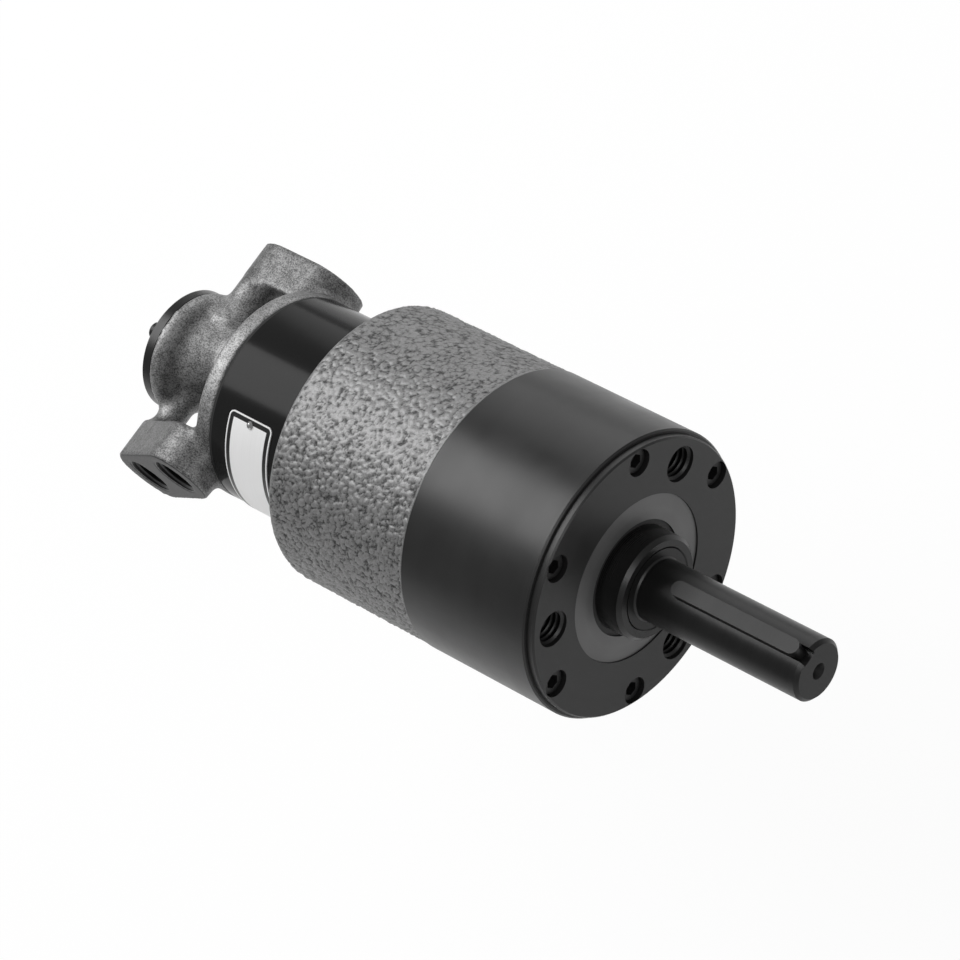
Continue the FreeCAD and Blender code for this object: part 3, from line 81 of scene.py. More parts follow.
# ------------------------------------------------------------------ shader bench
class Wire:
    """A value in a material; arithmetic on it adds Math nodes."""

    def __init__(self, bench: "Bench", socket: bpy.types.NodeSocket) -> None:
        """Keep the bench that owns the material and the output socket."""
        self.bench = bench
        self.socket = socket

    def math(self, operation: str, *others: "Value") -> "Wire":
        """Feed this value and others through one Math node.

        Args:
            operation: the Math node's operation.
            others: the node's further inputs, values or wires.

        Returns:
            The node's output.
        """
        inputs = dict(enumerate((self, *others)))
        return self.bench.add("ShaderNodeMath", {"operation": operation}, inputs)

    def __add__(self, other: "Value") -> "Wire":
        """Sum."""
        return self.math("ADD", other)

    def __radd__(self, other: "Value") -> "Wire":
        """Sum, reflected."""
        return self.math("ADD", other)

    def __sub__(self, other: "Value") -> "Wire":
        """Difference."""
        return self.math("SUBTRACT", other)

    def __rsub__(self, other: float) -> "Wire":
        """Difference, reflected."""
        return self.bench.add("ShaderNodeMath", {"operation": "SUBTRACT"}, {0: other, 1: self})

    def __mul__(self, other: "Value") -> "Wire":
        """Product."""
        return self.math("MULTIPLY", other)

    def __rmul__(self, other: "Value") -> "Wire":
        """Product, reflected."""
        return self.math("MULTIPLY", other)

    def __abs__(self) -> "Wire":
        """Size without sign."""
        return self.math("ABSOLUTE")

    def __pow__(self, other: "Value") -> "Wire":
        """Power."""
        return self.math("POWER", other)

    def ramp(self, low: float, high: float, start: float = 0.0, end: float = 1.0) -> "Wire":
        """Ease smoothly from one value to another as this value crosses a range.

        Args:
            low: where the change begins.
            high: where the change ends.
            start: value before it.
            end: value after it.

        Returns:
            The eased value.
        """
        settings = {"interpolation_type": "SMOOTHSTEP"}
        inputs = {"Value": self, "From Min": low, "From Max": high, "To Min": start, "To Max": end}
        return self.bench.add("ShaderNodeMapRange", settings, inputs)


Value = Union[float, Wire]
Colour = Tuple[float, float, float]
Place = Tuple[float, float, float]


class Bench:
    """One material being built, with its Principled shader."""

    def __init__(self, name: str) -> None:
        """Start an empty node material."""
        self.material = bpy.data.materials.new(name)
        self.material.use_nodes = True
        self.tree = self.material.node_tree
        self.tree.nodes.clear()
        self.shader = self.tree.nodes.new("ShaderNodeBsdfPrincipled")
        output = self.tree.nodes.new("ShaderNodeOutputMaterial")
        self.tree.links.new(self.shader.outputs[0], output.inputs[0])

    def add(self, kind: str, settings: Dict[str, Any], inputs: Dict[Any, Any],
            output: Any = 0) -> Wire:
        """Add any node.

        Args:
            kind: the node's type name.
            settings: attributes of the node, set first.
            inputs: values or wires by socket name or number.
            output: the socket to read.

        Returns:
            The wire from the chosen output.
        """
        node = self.tree.nodes.new(kind)
        for name, value in settings.items():
            setattr(node, name, value)
        for key, value in inputs.items():
            if isinstance(value, Wire):
                self.tree.links.new(value.socket, node.inputs[key])
            else:
                node.inputs[key].default_value = value
        return Wire(self, node.outputs[output])

    def set(self, **values: Any) -> None:
        """Set sockets of the Principled shader, named with underscores for spaces."""
        for name, value in values.items():
            socket = self.shader.inputs[name.replace("_", " ")]
            if isinstance(value, Wire):
                self.tree.links.new(value.socket, socket)
            else:
                socket.default_value = value

    def place(self) -> Wire:
        """The point's Object coordinates, in metres."""
        return self.add("ShaderNodeTexCoord", {}, {}, "Object")

    def axes(self) -> Tuple[Wire, Wire, Wire]:
        """The point's coordinates as three wires in millimetres."""
        split = self.add("ShaderNodeSeparateXYZ", {}, {0: self.place()})
        node = split.socket.node
        return tuple(Wire(self, node.outputs[index]) * PER_METRE for index in range(3))

    def join(self, x: Value, y: Value, z: Value) -> Wire:
        """A vector from three values."""
        return self.add("ShaderNodeCombineXYZ", {}, {0: x, 1: y, 2: z})

    def around(self) -> Tuple[Wire, Wire, Wire]:
        """The point's station, radius and clock angle about the shaft axis."""
        x, y, z = self.axes()
        radius = (y * y + z * z) ** 0.5
        return x, radius, z.math("ARCTAN2", y)

    def noise(self, vector: Wire, scale: float, detail: float = 3.0, rough: float = 0.5) -> Wire:
        """Smooth random value from 0 to 1 at a vector.

        Args:
            vector: where to read the noise.
            scale: cells for each unit of the vector.
            detail: octaves.
            rough: strength of each further octave.

        Returns:
            The noise value.
        """
        inputs = {"Vector": vector, "Scale": scale, "Detail": detail, "Roughness": rough}
        return self.add("ShaderNodeTexNoise", {}, inputs, "Fac")

    def cells(self, vector: Wire, scale: float) -> Wire:
        """Distance to the nearest of a field of random cells at a vector."""
        inputs = {"Vector": vector, "Scale": scale}
        return self.add("ShaderNodeTexVoronoi", {"feature": "F1"}, inputs, "Distance")

    def blend(self, amount: Value, first: Any, second: Any) -> Wire:
        """Mix two colours.

        Args:
            amount: 0 gives the first colour and 1 the second.
            first: colour or wire.
            second: colour or wire.

        Returns:
            The mixed colour.
        """
        colours = [c if isinstance(c, Wire) else (*c, 1.0) for c in (first, second)]
        inputs = {0: amount, 6: colours[0], 7: colours[1]}
        return self.add("ShaderNodeMix", {"data_type": "RGBA"}, inputs, 2)

    def bump(self, height: Wire, depth_mm: float, strength: float = 1.0) -> Wire:
        """A normal bent by a height from 0 to 1.

        Args:
            height: relief.
            depth_mm: depth of the relief.
            strength: share of it to use.

        Returns:
            The normal.
        """
        inputs = {"Strength": strength, "Distance": depth_mm * MM, "Height": height}
        return self.add("ShaderNodeBump", {}, inputs, "Normal")


def grey(level: float) -> Colour:
    """A neutral colour from its 0 to 255 screen value."""
    share = level / 255.0
    linear = share / 12.92 if share <= 0.04045 else ((share + 0.055) / 1.055) ** 2.4
    return (linear, linear, linear)


def warm(level: float, tint: float) -> Colour:
    """A grey of a screen value with a slight warm tint."""
    red, green, blue = grey(level)
    return (red * (1.0 + tint), green, blue * (1.0 - tint))


# ------------------------------------------------------------------ finishes
@dataclass(frozen=True)
class TurnedFinish:
    """Metal turned on a lathe: faint rings about the shaft axis."""

    name: str
    level: float
    metallic: float = 0.0
    roughness: float = 0.4
    line_pitch: float = 0.35
    line_depth: float = 0.004
    mottling: float = 0.12
    tint: float = 0.0
    broad_scale: float = 0.22
    patch_scale: float = 90.0

    def material(self) -> bpy.types.Material:
        """Build the material.

        Returns:
            A material whose tone, gloss and relief follow the turning marks.
        """
        bench = Bench(self.name)
        x, radius, _ = bench.around()
        rings = bench.noise(bench.join(x, radius, 0.0), 1.0 / self.line_pitch, 2.0)
        broad = bench.noise(bench.join(x, radius, 0.0), self.broad_scale, 2.0)
        patches = bench.noise(bench.place(), self.patch_scale, 3.0)
        tone = (rings - 0.5) * 0.5 + (patches - 0.5) + (broad - 0.5) * 0.6
        low = warm(self.level * (1.0 - self.mottling), self.tint)
        high = warm(self.level * (1.0 + self.mottling), self.tint)
        bench.set(
            Base_Color=bench.blend((tone + 0.5).math("MAXIMUM", 0.0), low, high),
            Metallic=self.metallic,
            Roughness=(patches - 0.5) * 0.16 + (rings - 0.5) * 0.1 + self.roughness,
            Normal=bench.bump(rings, self.line_depth, 0.8),
        )
        return bench.material


@dataclass(frozen=True)
class EnamelFinish:
    """Smooth gloss enamel with a trace of orange peel."""

    name: str
    level: float
    roughness: float = 0.1
    peel: float = 0.01
    peel_scale: float = 260.0
    dust_scale: float = 2200.0
    specular: float = 0.1

    def material(self) -> bpy.types.Material:
        """Build the material.

        Returns:
            A glossy material with a soft ripple.
        """
        bench = Bench(self.name)
        ripple = bench.noise(bench.place(), self.peel_scale, 2.0)
        dust = bench.noise(bench.place(), self.dust_scale, 2.0)
        bench.set(
            Base_Color=bench.blend(dust, grey(self.level * 0.9), grey(self.level * 1.15)),
            Metallic=0.0,
            Roughness=(dust - 0.5) * 0.06 + self.roughness,
            Normal=bench.bump(ripple, self.peel),
            Specular_IOR_Level=self.specular,
        )
        return bench.material


@dataclass(frozen=True)
class CastFinish:
    """Sand-cast metal: fine grain, darker pits, machined boss faces darkened with painted shade,
    painted light on the waist near the axis and painted shade in the bores.
    """

    name: str
    level: float
    grain_size: float = 0.45
    grain_depth: float = 0.09
    metallic: float = 0.75
    roughness: float = 0.5
    coarse_size: float = 5.0
    pit_size: float = 3.2
    cloud_scale: float = 50.0
    pit_walls: Tuple[float, float] = (0.08, 0.26)
    pit_tone: float = 0.15
    tone_shares: Tuple[float, float, float] = (2.1, 0.7, 0.2)
    relief_shares: Tuple[float, float, float] = (0.8, 0.5, 0.2)
    # Machined boss faces: where they begin, and their colour share, darker than the cast skin as
    # painted shade.
    machined: float = BOSS_FACE - 0.25
    machined_painted_shade_share: float = 0.46
    # Painted light: the waist and disc near the axis get lighter tones than the bosses, over the
    # shade in the valley there.
    boss_tones: Tuple[float, float] = (0.6, 1.32)
    waist_painted_light_tones: Tuple[float, float] = (0.76, 1.56)
    waist_painted_light_reach: Tuple[float, float] = (27.0, 20.0)
    # Painted shade in the port bores: the depth where it starts and its near-black level.
    bore_painted_shade_start: float = 26.0
    bore_painted_shade_level: float = 14

    def painted_bore_shade_mask(self, bench: Bench) -> Wire:
        """The painted shade in the port bores: how far a point lies inside one of the bores, from
        0 to 1.
        """
        x, y, z = bench.axes()
        masks = []
        for port in PORTS:
            gap = ((x - port.x) ** 2.0 + (z - port.z) ** 2.0) ** 0.5
            depth = (y * port.side).ramp(self.bore_painted_shade_start, self.bore_painted_shade_start + 0.5)
            masks.append(gap.ramp(port.shade + 0.1, port.shade - 0.1) * depth)
        return masks[0] + masks[1] + masks[2]

    def material(self) -> bpy.types.Material:
        """Build the material.

        Returns:
            A material with cast grain in its tone, gloss and relief.
        """
        bench = Bench(self.name)
        place = bench.place()
        scale = PER_METRE / self.grain_size
        fine = bench.noise(place, scale, 2.5, 0.6)
        coarse = bench.noise(place, scale / self.coarse_size, 3.0)
        pits = bench.cells(place, scale / self.pit_size).ramp(*self.pit_walls)
        cloud = bench.noise(place, self.cloud_scale, 2.0)
        off_axis = abs(bench.axes()[1])
        cut = off_axis.ramp(self.machined, self.machined + 0.1)
        fine_share, coarse_share, cloud_share = self.tone_shares
        tone = (fine - 0.5) * fine_share + (coarse - 0.5) * coarse_share
        tone = (tone + (cloud - 0.5) * cloud_share + 0.5).ramp(0.0, 1.0)
        tone = tone * (pits * self.pit_tone + (1.0 - self.pit_tone))
        # Painted light: lighter colour on the waist near the axis, where the valley falls in
        # shade.
        middle = off_axis.ramp(*self.waist_painted_light_reach)
        low, high = (bench.blend(middle, grey(self.level * outer), grey(self.level * inner))
                     for outer, inner in zip(self.boss_tones, self.waist_painted_light_tones))
        # Painted shade: the machined boss faces take a darker colour than the cast skin.
        machined = grey(self.level * self.machined_painted_shade_share)
        skin = bench.blend(cut, bench.blend(tone, low, high), machined)
        fine_share, coarse_share, pit_share = self.relief_shares
        height = fine * fine_share + pits * pit_share + coarse * coarse_share
        bench.set(
            # Painted shade: the port bores get a near-black colour where shade falls inside them.
            Base_Color=bench.blend(self.painted_bore_shade_mask(bench), skin, grey(self.bore_painted_shade_level)),
            Metallic=self.metallic,
            Roughness=(fine - 0.5) * 0.25 + self.roughness,
            Normal=bench.bump(height * (1.0 - cut), self.grain_depth),
        )
        return bench.material


@dataclass(frozen=True)
class HammeredFinish:
    """Cast skin with pebbled bumps, with painted shade in the creases between them."""

    name: str
    level: float
    metallic: float = 0.7
    roughness: float = 0.48
    fine_scale: float = 2600.0
    crumb_scale: float = 1300.0
    cloud_scale: float = 70.0
    tones: Tuple[float, float] = (0.43, 1.13)
    # Painted shade: the relief range over which the creases darken, and its share of the tone.
    crease_painted_shade: Tuple[float, float] = (0.07, 0.57)
    crease_painted_shade_share: float = 0.68
    tone_shares: Tuple[float, float, float] = (0.8, 0.7, 0.2)
    tone_floor: float = 0.12
    grain_depth: float = 0.14

    def material(self) -> bpy.types.Material:
        """Build the material.

        Returns:
            A material with painted shade in the creases, read from the mesh's own relief
            attribute, and fine grain.
        """
        bench = Bench(self.name)
        relief = bench.add("ShaderNodeAttribute", {"attribute_name": "relief"}, {}, "Fac")
        place = bench.place()
        fine = bench.noise(place, self.fine_scale, 4.0, 0.6)
        crumb = bench.noise(place, self.crumb_scale, 3.0, 0.62)
        cloud = bench.noise(place, self.cloud_scale, 2.0)
        fine_share, crumb_share, cloud_share = self.tone_shares
        # Painted shade: the colour darkens in the creases between the pebbles and lightens on the
        # crests.
        tone = relief.ramp(*self.crease_painted_shade) * self.crease_painted_shade_share + (crumb - 0.5) * crumb_share
        tone = tone + (fine - 0.5) * fine_share + (cloud - 0.5) * cloud_share + self.tone_floor
        dark, light = (grey(self.level * share) for share in self.tones)
        bench.set(
            Base_Color=bench.blend(tone.ramp(0.0, 1.0), dark, light),
            Metallic=self.metallic,
            Roughness=(fine - 0.5) * 0.2 + self.roughness,
            Normal=bench.bump(fine * 0.3 + crumb, self.grain_depth),
        )
        return bench.material


@dataclass(frozen=True)
class PlateFinish:
    """Blank nameplate: light field, dark band round it and a thin light line at the edge.

    The plate's place is given by its station, its clock angle and half its size either way.
    """

    name: str
    middle_x: float
    half_width: float
    middle_clock: float
    half_arc: float
    radius: float
    band: float = 1.9
    line: float = 0.45
    corner: float = 1.8
    band_blur: float = 0.08
    line_blur: float = 0.06
    pale_tones: Tuple[float, float] = (240, 254)
    dark_tone: float = 24

    def material(self) -> bpy.types.Material:
        """Build the material.

        Returns:
            A printed plate finish read from the place on the wrapped plate.
        """
        bench = Bench(self.name)
        x, _, clock = bench.around()
        turned = clock.math("ADD", -self.middle_clock).math("WRAP", math.pi, -math.pi)
        along = abs(turned) * self.radius
        across = abs(x - self.middle_x)
        gap_x = across - (self.half_width - self.corner)
        gap_y = along - (self.half_arc * self.radius - self.corner)
        out_x = gap_x.math("MAXIMUM", 0.0)
        out_y = gap_y.math("MAXIMUM", 0.0)
        inward = gap_x.math("MAXIMUM", gap_y).math("MINIMUM", 0.0)
        edge = self.corner - (out_x * out_x + out_y * out_y) ** 0.5 - inward
        middle = edge.ramp(self.band - self.band_blur, self.band + self.band_blur)
        rim = edge.ramp(self.line + self.line_blur, self.line - self.line_blur)
        light = middle.math("MAXIMUM", rim)
        brush = bench.noise(bench.join(x * 6.0, turned * 2.0, 0.0), 1.0, 3.0)
        pale = bench.blend(brush, *(grey(tone) for tone in self.pale_tones))
        bench.set(
            Base_Color=bench.blend(light, grey(self.dark_tone), pale),
            Metallic=light * 0.08,
            Roughness=light * 0.12 + 0.3 + (brush - 0.5) * 0.08,
            Normal=bench.bump(light, 0.03, 0.6),
        )
        return bench.material


@dataclass(frozen=True)
class SoftFinish:
    """Rubber or fibre: matt, slightly dusty."""

    name: str
    level: float
    roughness: float = 0.7
    grain_scale: float = 3000.0

    def material(self) -> bpy.types.Material:
        """Build the material.

        Returns:
            A matt material with fine grain.
        """
        bench = Bench(self.name)
        grain = bench.noise(bench.place(), self.grain_scale, 3.0)
        bench.set(
            Base_Color=bench.blend(grain, grey(self.level * 0.8), grey(self.level * 1.3)),
            Metallic=0.0,
            Roughness=(grain - 0.5) * 0.2 + self.roughness,
            Normal=bench.bump(grain, 0.02),
        )
        return bench.material


class Surface(Enum):
    """The finishes of the motor's pieces."""

    CASE = TurnedFinish("case_black_oxide", 40, 0.35, 0.36, 0.3, 0.005, 0.1)
    FACE = TurnedFinish("face_black_oxide", 40, 0.35, 0.38, 0.22, 0.006, 0.1)
    COLLAR = TurnedFinish("collar_black", 32, 0.4, 0.3, 0.3, 0.003, 0.1)
    BLOCK = EnamelFinish("block_gloss_enamel", 30, 0.16)
    RING = TurnedFinish("retainer_grey_steel", 98, 0.6, 0.45, 0.25, 0.005, 0.1)
    SHAFT = TurnedFinish("shaft_dark_steel", 45, 0.75, 0.34, 0.4, 0.003, 0.14)
    GEAR = TurnedFinish("gear_steel", 120, 1.0, 0.32, 0.3, 0.004, 0.12)
    # Painted shade: the pipe threads are cut alloy given a dark colour for the shade inside the
    # ports.
    PIPE_THREAD_SHADED = TurnedFinish("cut_thread_alloy_painted_shade", 40, 0.5, 0.45, 0.3, 0.003, 0.15)
    SCREW = TurnedFinish("screw_black_oxide", 40, 0.6, 0.38, 0.3, 0.003, 0.2)
    BRIGHT = TurnedFinish("polished_steel", 190, 1.0, 0.16, 0.5, 0.001, 0.05)
    BRONZE = TurnedFinish("sintered_bronze", 150, 1.0, 0.4, 0.4, 0.003, 0.15, 0.28)
    PORT_CASTING = CastFinish("sand_cast_alloy", 112)
    HOUSING = HammeredFinish("hammered_cast_alloy", 129)
    RUBBER = SoftFinish("seal_rubber", 24, 0.6)
    GASKET = SoftFinish("gasket_fibre", 26, 0.75)


FINISH_OF_SLOT: Dict[str, Surface] = {
    CASE_SLOT: Surface.CASE,
    "block_black": Surface.BLOCK,
    CASTING_SLOT: Surface.PORT_CASTING,
    "ring_steel": Surface.RING,
    "shaft_steel": Surface.SHAFT,
    "gear_steel": Surface.GEAR,
    "screw_steel": Surface.SCREW,
    "bright_steel": Surface.BRIGHT,
    "bush_bronze": Surface.BRONZE,
    "seal_rubber": Surface.RUBBER,
    "gasket_sheet": Surface.GASKET,
}
FINISH_OF_NODE: Dict[str, Surface] = {
    "front_cover": Surface.FACE,
    "collar": Surface.COLLAR,
    "rear_cover": Surface.COLLAR,
}


class PaintShop:
    """Makes each finish once and puts it on pieces."""

    def __init__(self) -> None:
        """Start with no material made."""
        self.made: Dict[str, bpy.types.Material] = {}

    def get(self, finish: Any) -> bpy.types.Material:
        """The material of a finish, built at its first use."""
        if finish.name not in self.made:
            self.made[finish.name] = finish.material()
        return self.made[finish.name]

    def dress(self, piece: bpy.types.Object, finish: Any) -> None:
        """Give a piece one finish all over."""
        material = self.get(finish)
        piece.data.materials.clear()
        piece.data.materials.append(material)

    def dress_node(self, node: str, finish: Any) -> None:
        """Give a frame node one finish in its existing slots."""
        piece = frame["nodes"][node]
        material = self.get(finish)
        for entry in piece.material_slots:
            entry.material = material


# ------------------------------------------------------------------ meshes
def finish_mesh(name: str, mesh: bmesh.types.BMesh, smooth: bool = True) -> bpy.types.Object:
    """Turn a bmesh into a scene piece that rides on the housing body.

    Args:
        name: name of the piece.
        mesh: the finished bmesh, in metres, in the frame's own axes; it is used up.
        smooth: whether faces shade smoothly.

    Returns:
        The new object, untransformed at the origin.
    """
    bmesh.ops.recalc_face_normals(mesh, faces=mesh.faces)
    for face in mesh.faces:
        face.smooth = smooth
    data = bpy.data.meshes.new(name)
    mesh.to_mesh(data)
    mesh.free()
    piece = bpy.data.objects.new(name, data)
    bpy.context.scene.collection.objects.link(piece)
    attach(piece, BODY)
    return piece


@dataclass
class HousingSkin:
    """The motor housing with its pebbled cast skin as real relief."""

    front: float = -49.8
    rear: float = -104.7
    outer: float = 44.45
    seat: float = 35.0
    seat_rear: float = -57.8
    cavity: float = 33.5
    wall_front: float = -96.7
    bore: float = 30.05
    shoulder: float = 2.5
    chamfer: float = 0.3
    step: float = 0.47
    corner_steps: int = 8
    turns: int = 588
    pebble: float = 2.05
    bead_size: float = 0.52
    drift_scales: Tuple[float, float] = (0.9, 0.3)
    drift_reaches: Tuple[float, float] = (0.45, 0.5)
    bead_drift: float = 1.6
    dome_power: float = 2.2
    bead_power: float = 2.0
    swell_scale: float = 0.6
    dome_share: float = 0.55
    bead_share: float = 0.2
    swell_share: float = 0.2
    relief_floor: float = 0.12
    depth: float = 0.7
    lip: float = 0.45
    lip_blend: float = 0.6
    rear_lip: float = 0.5
    skin_margin: float = 0.4
    inner_tone: float = 0.8
    lip_tone: float = 0.5
    seed: int = 7

    def outline(self) -> List[Tuple[float, float]]:
        """The closed outline in station and radius, fine along the outer skin."""
        start = self.front - self.chamfer
        end = self.rear + self.shoulder
        points = [(self.front, self.seat), (self.front, self.outer - self.chamfer),
                  (start, self.outer)]
        count = int((start - end) / self.step)
        points += [(start + (end - start) * i / count, self.outer) for i in range(1, count + 1)]
        for i in range(1, self.corner_steps + 1):
            angle = math.pi / 2 * i / self.corner_steps
            radius = self.outer - self.shoulder + self.shoulder * math.cos(angle)
            points.append((end - self.shoulder * math.sin(angle), radius))
        points += [
            (self.rear, self.bore),
            (self.wall_front, self.bore),
            (self.wall_front, self.cavity),
            (self.seat_rear, self.cavity),
            (self.seat_rear, self.seat),
        ]
        return points

    def relief(self, place: Vector) -> float:
        """Height of the pebbling from 0 in a crease to 1 on a crest.

        Args:
            place: point on the smooth skin, in millimetres.

        Returns:
            The height.
        """
        near, far = (noise.noise_vector(place * scale) * reach
                     for scale, reach in zip(self.drift_scales, self.drift_reaches))
        drift = near + far
        large = noise.voronoi((place + drift) / self.pebble)[0]
        beads = self.pebble * self.bead_size
        small = noise.voronoi((place + drift * self.bead_drift) / beads)[0]
        dome = 1.0 - (large[0] / max(large[1], TINY)) ** self.dome_power
        bead = 1.0 - (small[0] / max(small[1], TINY)) ** self.bead_power
        swell = noise.fractal(place * self.swell_scale, 1.0, 2.0, 3)
        height = dome * self.dome_share + bead * self.bead_share + self.relief_floor
        return max(0.0, min(1.0, height + swell * self.swell_share))

    def build(self, shop: PaintShop) -> bpy.types.Object:
        """Spin the outline, press the pebbles in and dress the piece."""
        noise.seed_set(self.seed)
        mesh = bmesh.new()
        corners = [mesh.verts.new((x * MM, 0.0, r * MM)) for x, r in self.outline()]
        edges = [mesh.edges.new((a, b)) for a, b in zip(corners, corners[1:] + corners[:1])]
        bmesh.ops.spin(mesh, geom=corners + edges, cent=(0, 0, 0), axis=(1, 0, 0), dvec=(0, 0, 0),
                       angle=math.tau, steps=self.turns, use_merge=True, use_duplicate=False)
        bmesh.ops.remove_doubles(mesh, verts=mesh.verts, dist=TINY)
        # The relief layer also carries the painted shade of the creases into the housing's
        # material.
        layer = mesh.verts.layers.float.new("relief")
        for vertex in mesh.verts:
            x, y, z = vertex.co / MM
            radius = math.hypot(y, z)
            if radius < self.outer - self.shoulder - self.skin_margin:
                vertex[layer] = self.inner_tone
                continue
            front = min(1.0, max(0.0, (self.front - self.lip - x) / self.lip_blend))
            rear = min(1.0, max(0.0, x - self.rear - self.rear_lip))
            share = front * rear
            height = self.relief(Vector((x, y, z)))
            vertex[layer] = height * share + self.lip_tone * (1.0 - share)
            drop = (1.0 - height) * self.depth * share
            scale = (radius - drop) / radius
            vertex.co.y *= scale
            vertex.co.z *= scale
        piece = finish_mesh("motor_housing_cast", mesh)
        shop.dress(piece, Surface.HOUSING.value)
        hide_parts("motor_housing")
        return piece


@dataclass
class CastSkin:
    """The port casting with the rounded edges and blended roots of a sand casting.

    Each web is a round cone: its start, its end and its radius at either end.
    """

    voxel: float = 0.62
    fillet: float = 1.8
    edge: float = 4.6
    edge_margin: float = 0.3
    soften_rounds: int = 8
    soften_factor: float = 0.5
    disc_front: float = -175.0
    disc_radius: float = 19.67
    face: float = -140.1
    back: float = -180.5
    bore_wall: float = 7.4
    bore_clear: float = 7.0
    bore_core: float = 1.0
    face_margin: float = 0.7
    back_margin: float = 1.6
    bore_margin: float = 0.6
    port_margin: float = 0.5
    web_segments: int = 48
    webs: Sequence[Tuple[Place, Place, float, float]] = (
        ((-176.5, 1.5, 0.0), (-164.0, 3.0, 0.0), 15.8, 12.0),
        ((-174.6, -8.0, -2.4), (-174.6, -26.0, -2.4), 4.5, 4.5),
        ((-173.6, -9.0, -2.4), (-174.6, -15.5, -2.4), 7.5, 4.5),
        ((-170.4, 8.0, 6.0), (-170.4, 26.0, 6.0), 6.2, 6.2),
        ((-170.0, 10.0, 5.0), (-170.4, 18.0, 6.0), 9.0, 6.2))

    def remeshed(self, mesh: bpy.types.Mesh) -> bpy.types.Mesh:
        """Rebuild a closed mesh on an even grid.

        Args:
            mesh: the closed mesh, which is used up.

        Returns:
            A new mesh with faces of about the voxel size.
        """
        work = bpy.data.objects.new("cast_work", mesh)
        bpy.context.scene.collection.objects.link(work)
        skin = work.modifiers.new("skin", "REMESH")
        skin.mode = "VOXEL"
        skin.voxel_size = self.voxel * MM
        shaped = work.evaluated_get(bpy.context.evaluated_depsgraph_get())
        result = bpy.data.meshes.new_from_object(shaped)
        bpy.data.objects.remove(work)
        bpy.data.meshes.remove(mesh)
        return result

    def grown(self, mesh: bpy.types.Mesh, reach: float) -> bpy.types.Mesh:
        """Move every point out along its normal by a reach in millimetres."""
        moved = [vertex.co + vertex.normal * (reach * MM) for vertex in mesh.vertices]
        for vertex, place in zip(mesh.vertices, moved):
            vertex.co = place
        mesh.update()
        return mesh

    def round_disc(self, mesh: bpy.types.Mesh) -> None:
        """Round the front edge of the rear disc."""
        for vertex in mesh.vertices:
            x, y, z = vertex.co / MM
            radius = math.hypot(y, z)
            u = x - (self.disc_front - self.edge)
            w = radius - (self.disc_radius - self.edge)
            if min(u, w) <= 0.0 or max(u, w) > self.edge + self.edge_margin:
                continue
            length = math.hypot(u, w)
            if length > self.edge:
                share = self.edge / length
                scale = (self.disc_radius - self.edge + w * share) / radius
                station = self.disc_front - self.edge + u * share
                vertex.co = Vector((station, y * scale, z * scale)) * MM

    def add_webs(self, solid: bmesh.types.BMesh) -> None:
        """Add the round webs that fill the roots of the necks and of the waist."""
        for start, end, first, last in self.webs:
            low, high = Vector(start) * MM, Vector(end) * MM
            turn = (high - low).to_track_quat("Z", "Y").to_matrix().to_4x4()
            place = Matrix.Translation((low + high) / 2.0) @ turn
            bmesh.ops.create_cone(solid, cap_ends=True, segments=self.web_segments,
                                  radius1=first * MM, radius2=last * MM,
                                  depth=(high - low).length, matrix=place)

    def is_cast(self, place: Vector) -> bool:
        """Whether a point in millimetres lies on rough skin, not on a machined face or bore."""
        x, y, z = place
        if abs(y) > BOSS_FACE - self.face_margin:
            return False
        if x > self.face - self.face_margin or x < self.back + self.back_margin:
            return False
        if math.hypot(y, z) < self.bore_wall + self.bore_margin:
            return False
        return not any(y * port.side > 0.0
                       and math.hypot(x - port.x, z - port.z) < port.radius + self.port_margin
                       for port in PORTS)

    def soften(self, skin: bmesh.types.BMesh) -> None:
        """Smooth the rough skin and leave the machined faces and bores sharp."""
        rough = [vertex for vertex in skin.verts if self.is_cast(vertex.co / MM)]
        for _ in range(self.soften_rounds):
            bmesh.ops.smooth_vert(skin, verts=rough, factor=self.soften_factor, use_axis_x=True,
                                  use_axis_y=True, use_axis_z=True)

    def clear_bore(self, skin: bmesh.types.BMesh) -> None:
        """Bring the valve bore back to its radius after the remeshing."""
        for vertex in skin.verts:
            radius = math.hypot(vertex.co.y, vertex.co.z) / MM
            if self.bore_core < radius < self.bore_wall:
                vertex.co.y *= self.bore_clear / radius
                vertex.co.z *= self.bore_clear / radius

    def build(self, shop: PaintShop) -> bpy.types.Object:
        """Blend the solid's edges and roots, and dress the piece."""
        solid = bmesh.new()
        solid.from_mesh(frame["nodes"]["port_housing"].data)
        bmesh.ops.remove_doubles(solid, verts=solid.verts, dist=TINY)
        low = [min(vertex.co[axis] for vertex in solid.verts) for axis in range(3)]
        high = [max(vertex.co[axis] for vertex in solid.verts) for axis in range(3)]
        self.add_webs(solid)
        mesh = bpy.data.meshes.new("cast_start")
        solid.to_mesh(mesh)
        solid.free()
        mesh = self.remeshed(mesh)
        self.round_disc(mesh)
        mesh = self.remeshed(self.grown(mesh, self.fillet))
        mesh = self.remeshed(self.grown(mesh, -self.fillet))
        skin = bmesh.new()
        skin.from_mesh(mesh)
        bpy.data.meshes.remove(mesh)
        self.soften(skin)
        self.clear_bore(skin)
        for vertex in skin.verts:
            for axis in range(3):
                vertex.co[axis] = min(high[axis], max(low[axis], vertex.co[axis]))
        piece = finish_mesh("port_housing_cast", skin)
        shop.dress(piece, Surface.PORT_CASTING.value)
        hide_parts("port_housing")
        return piece


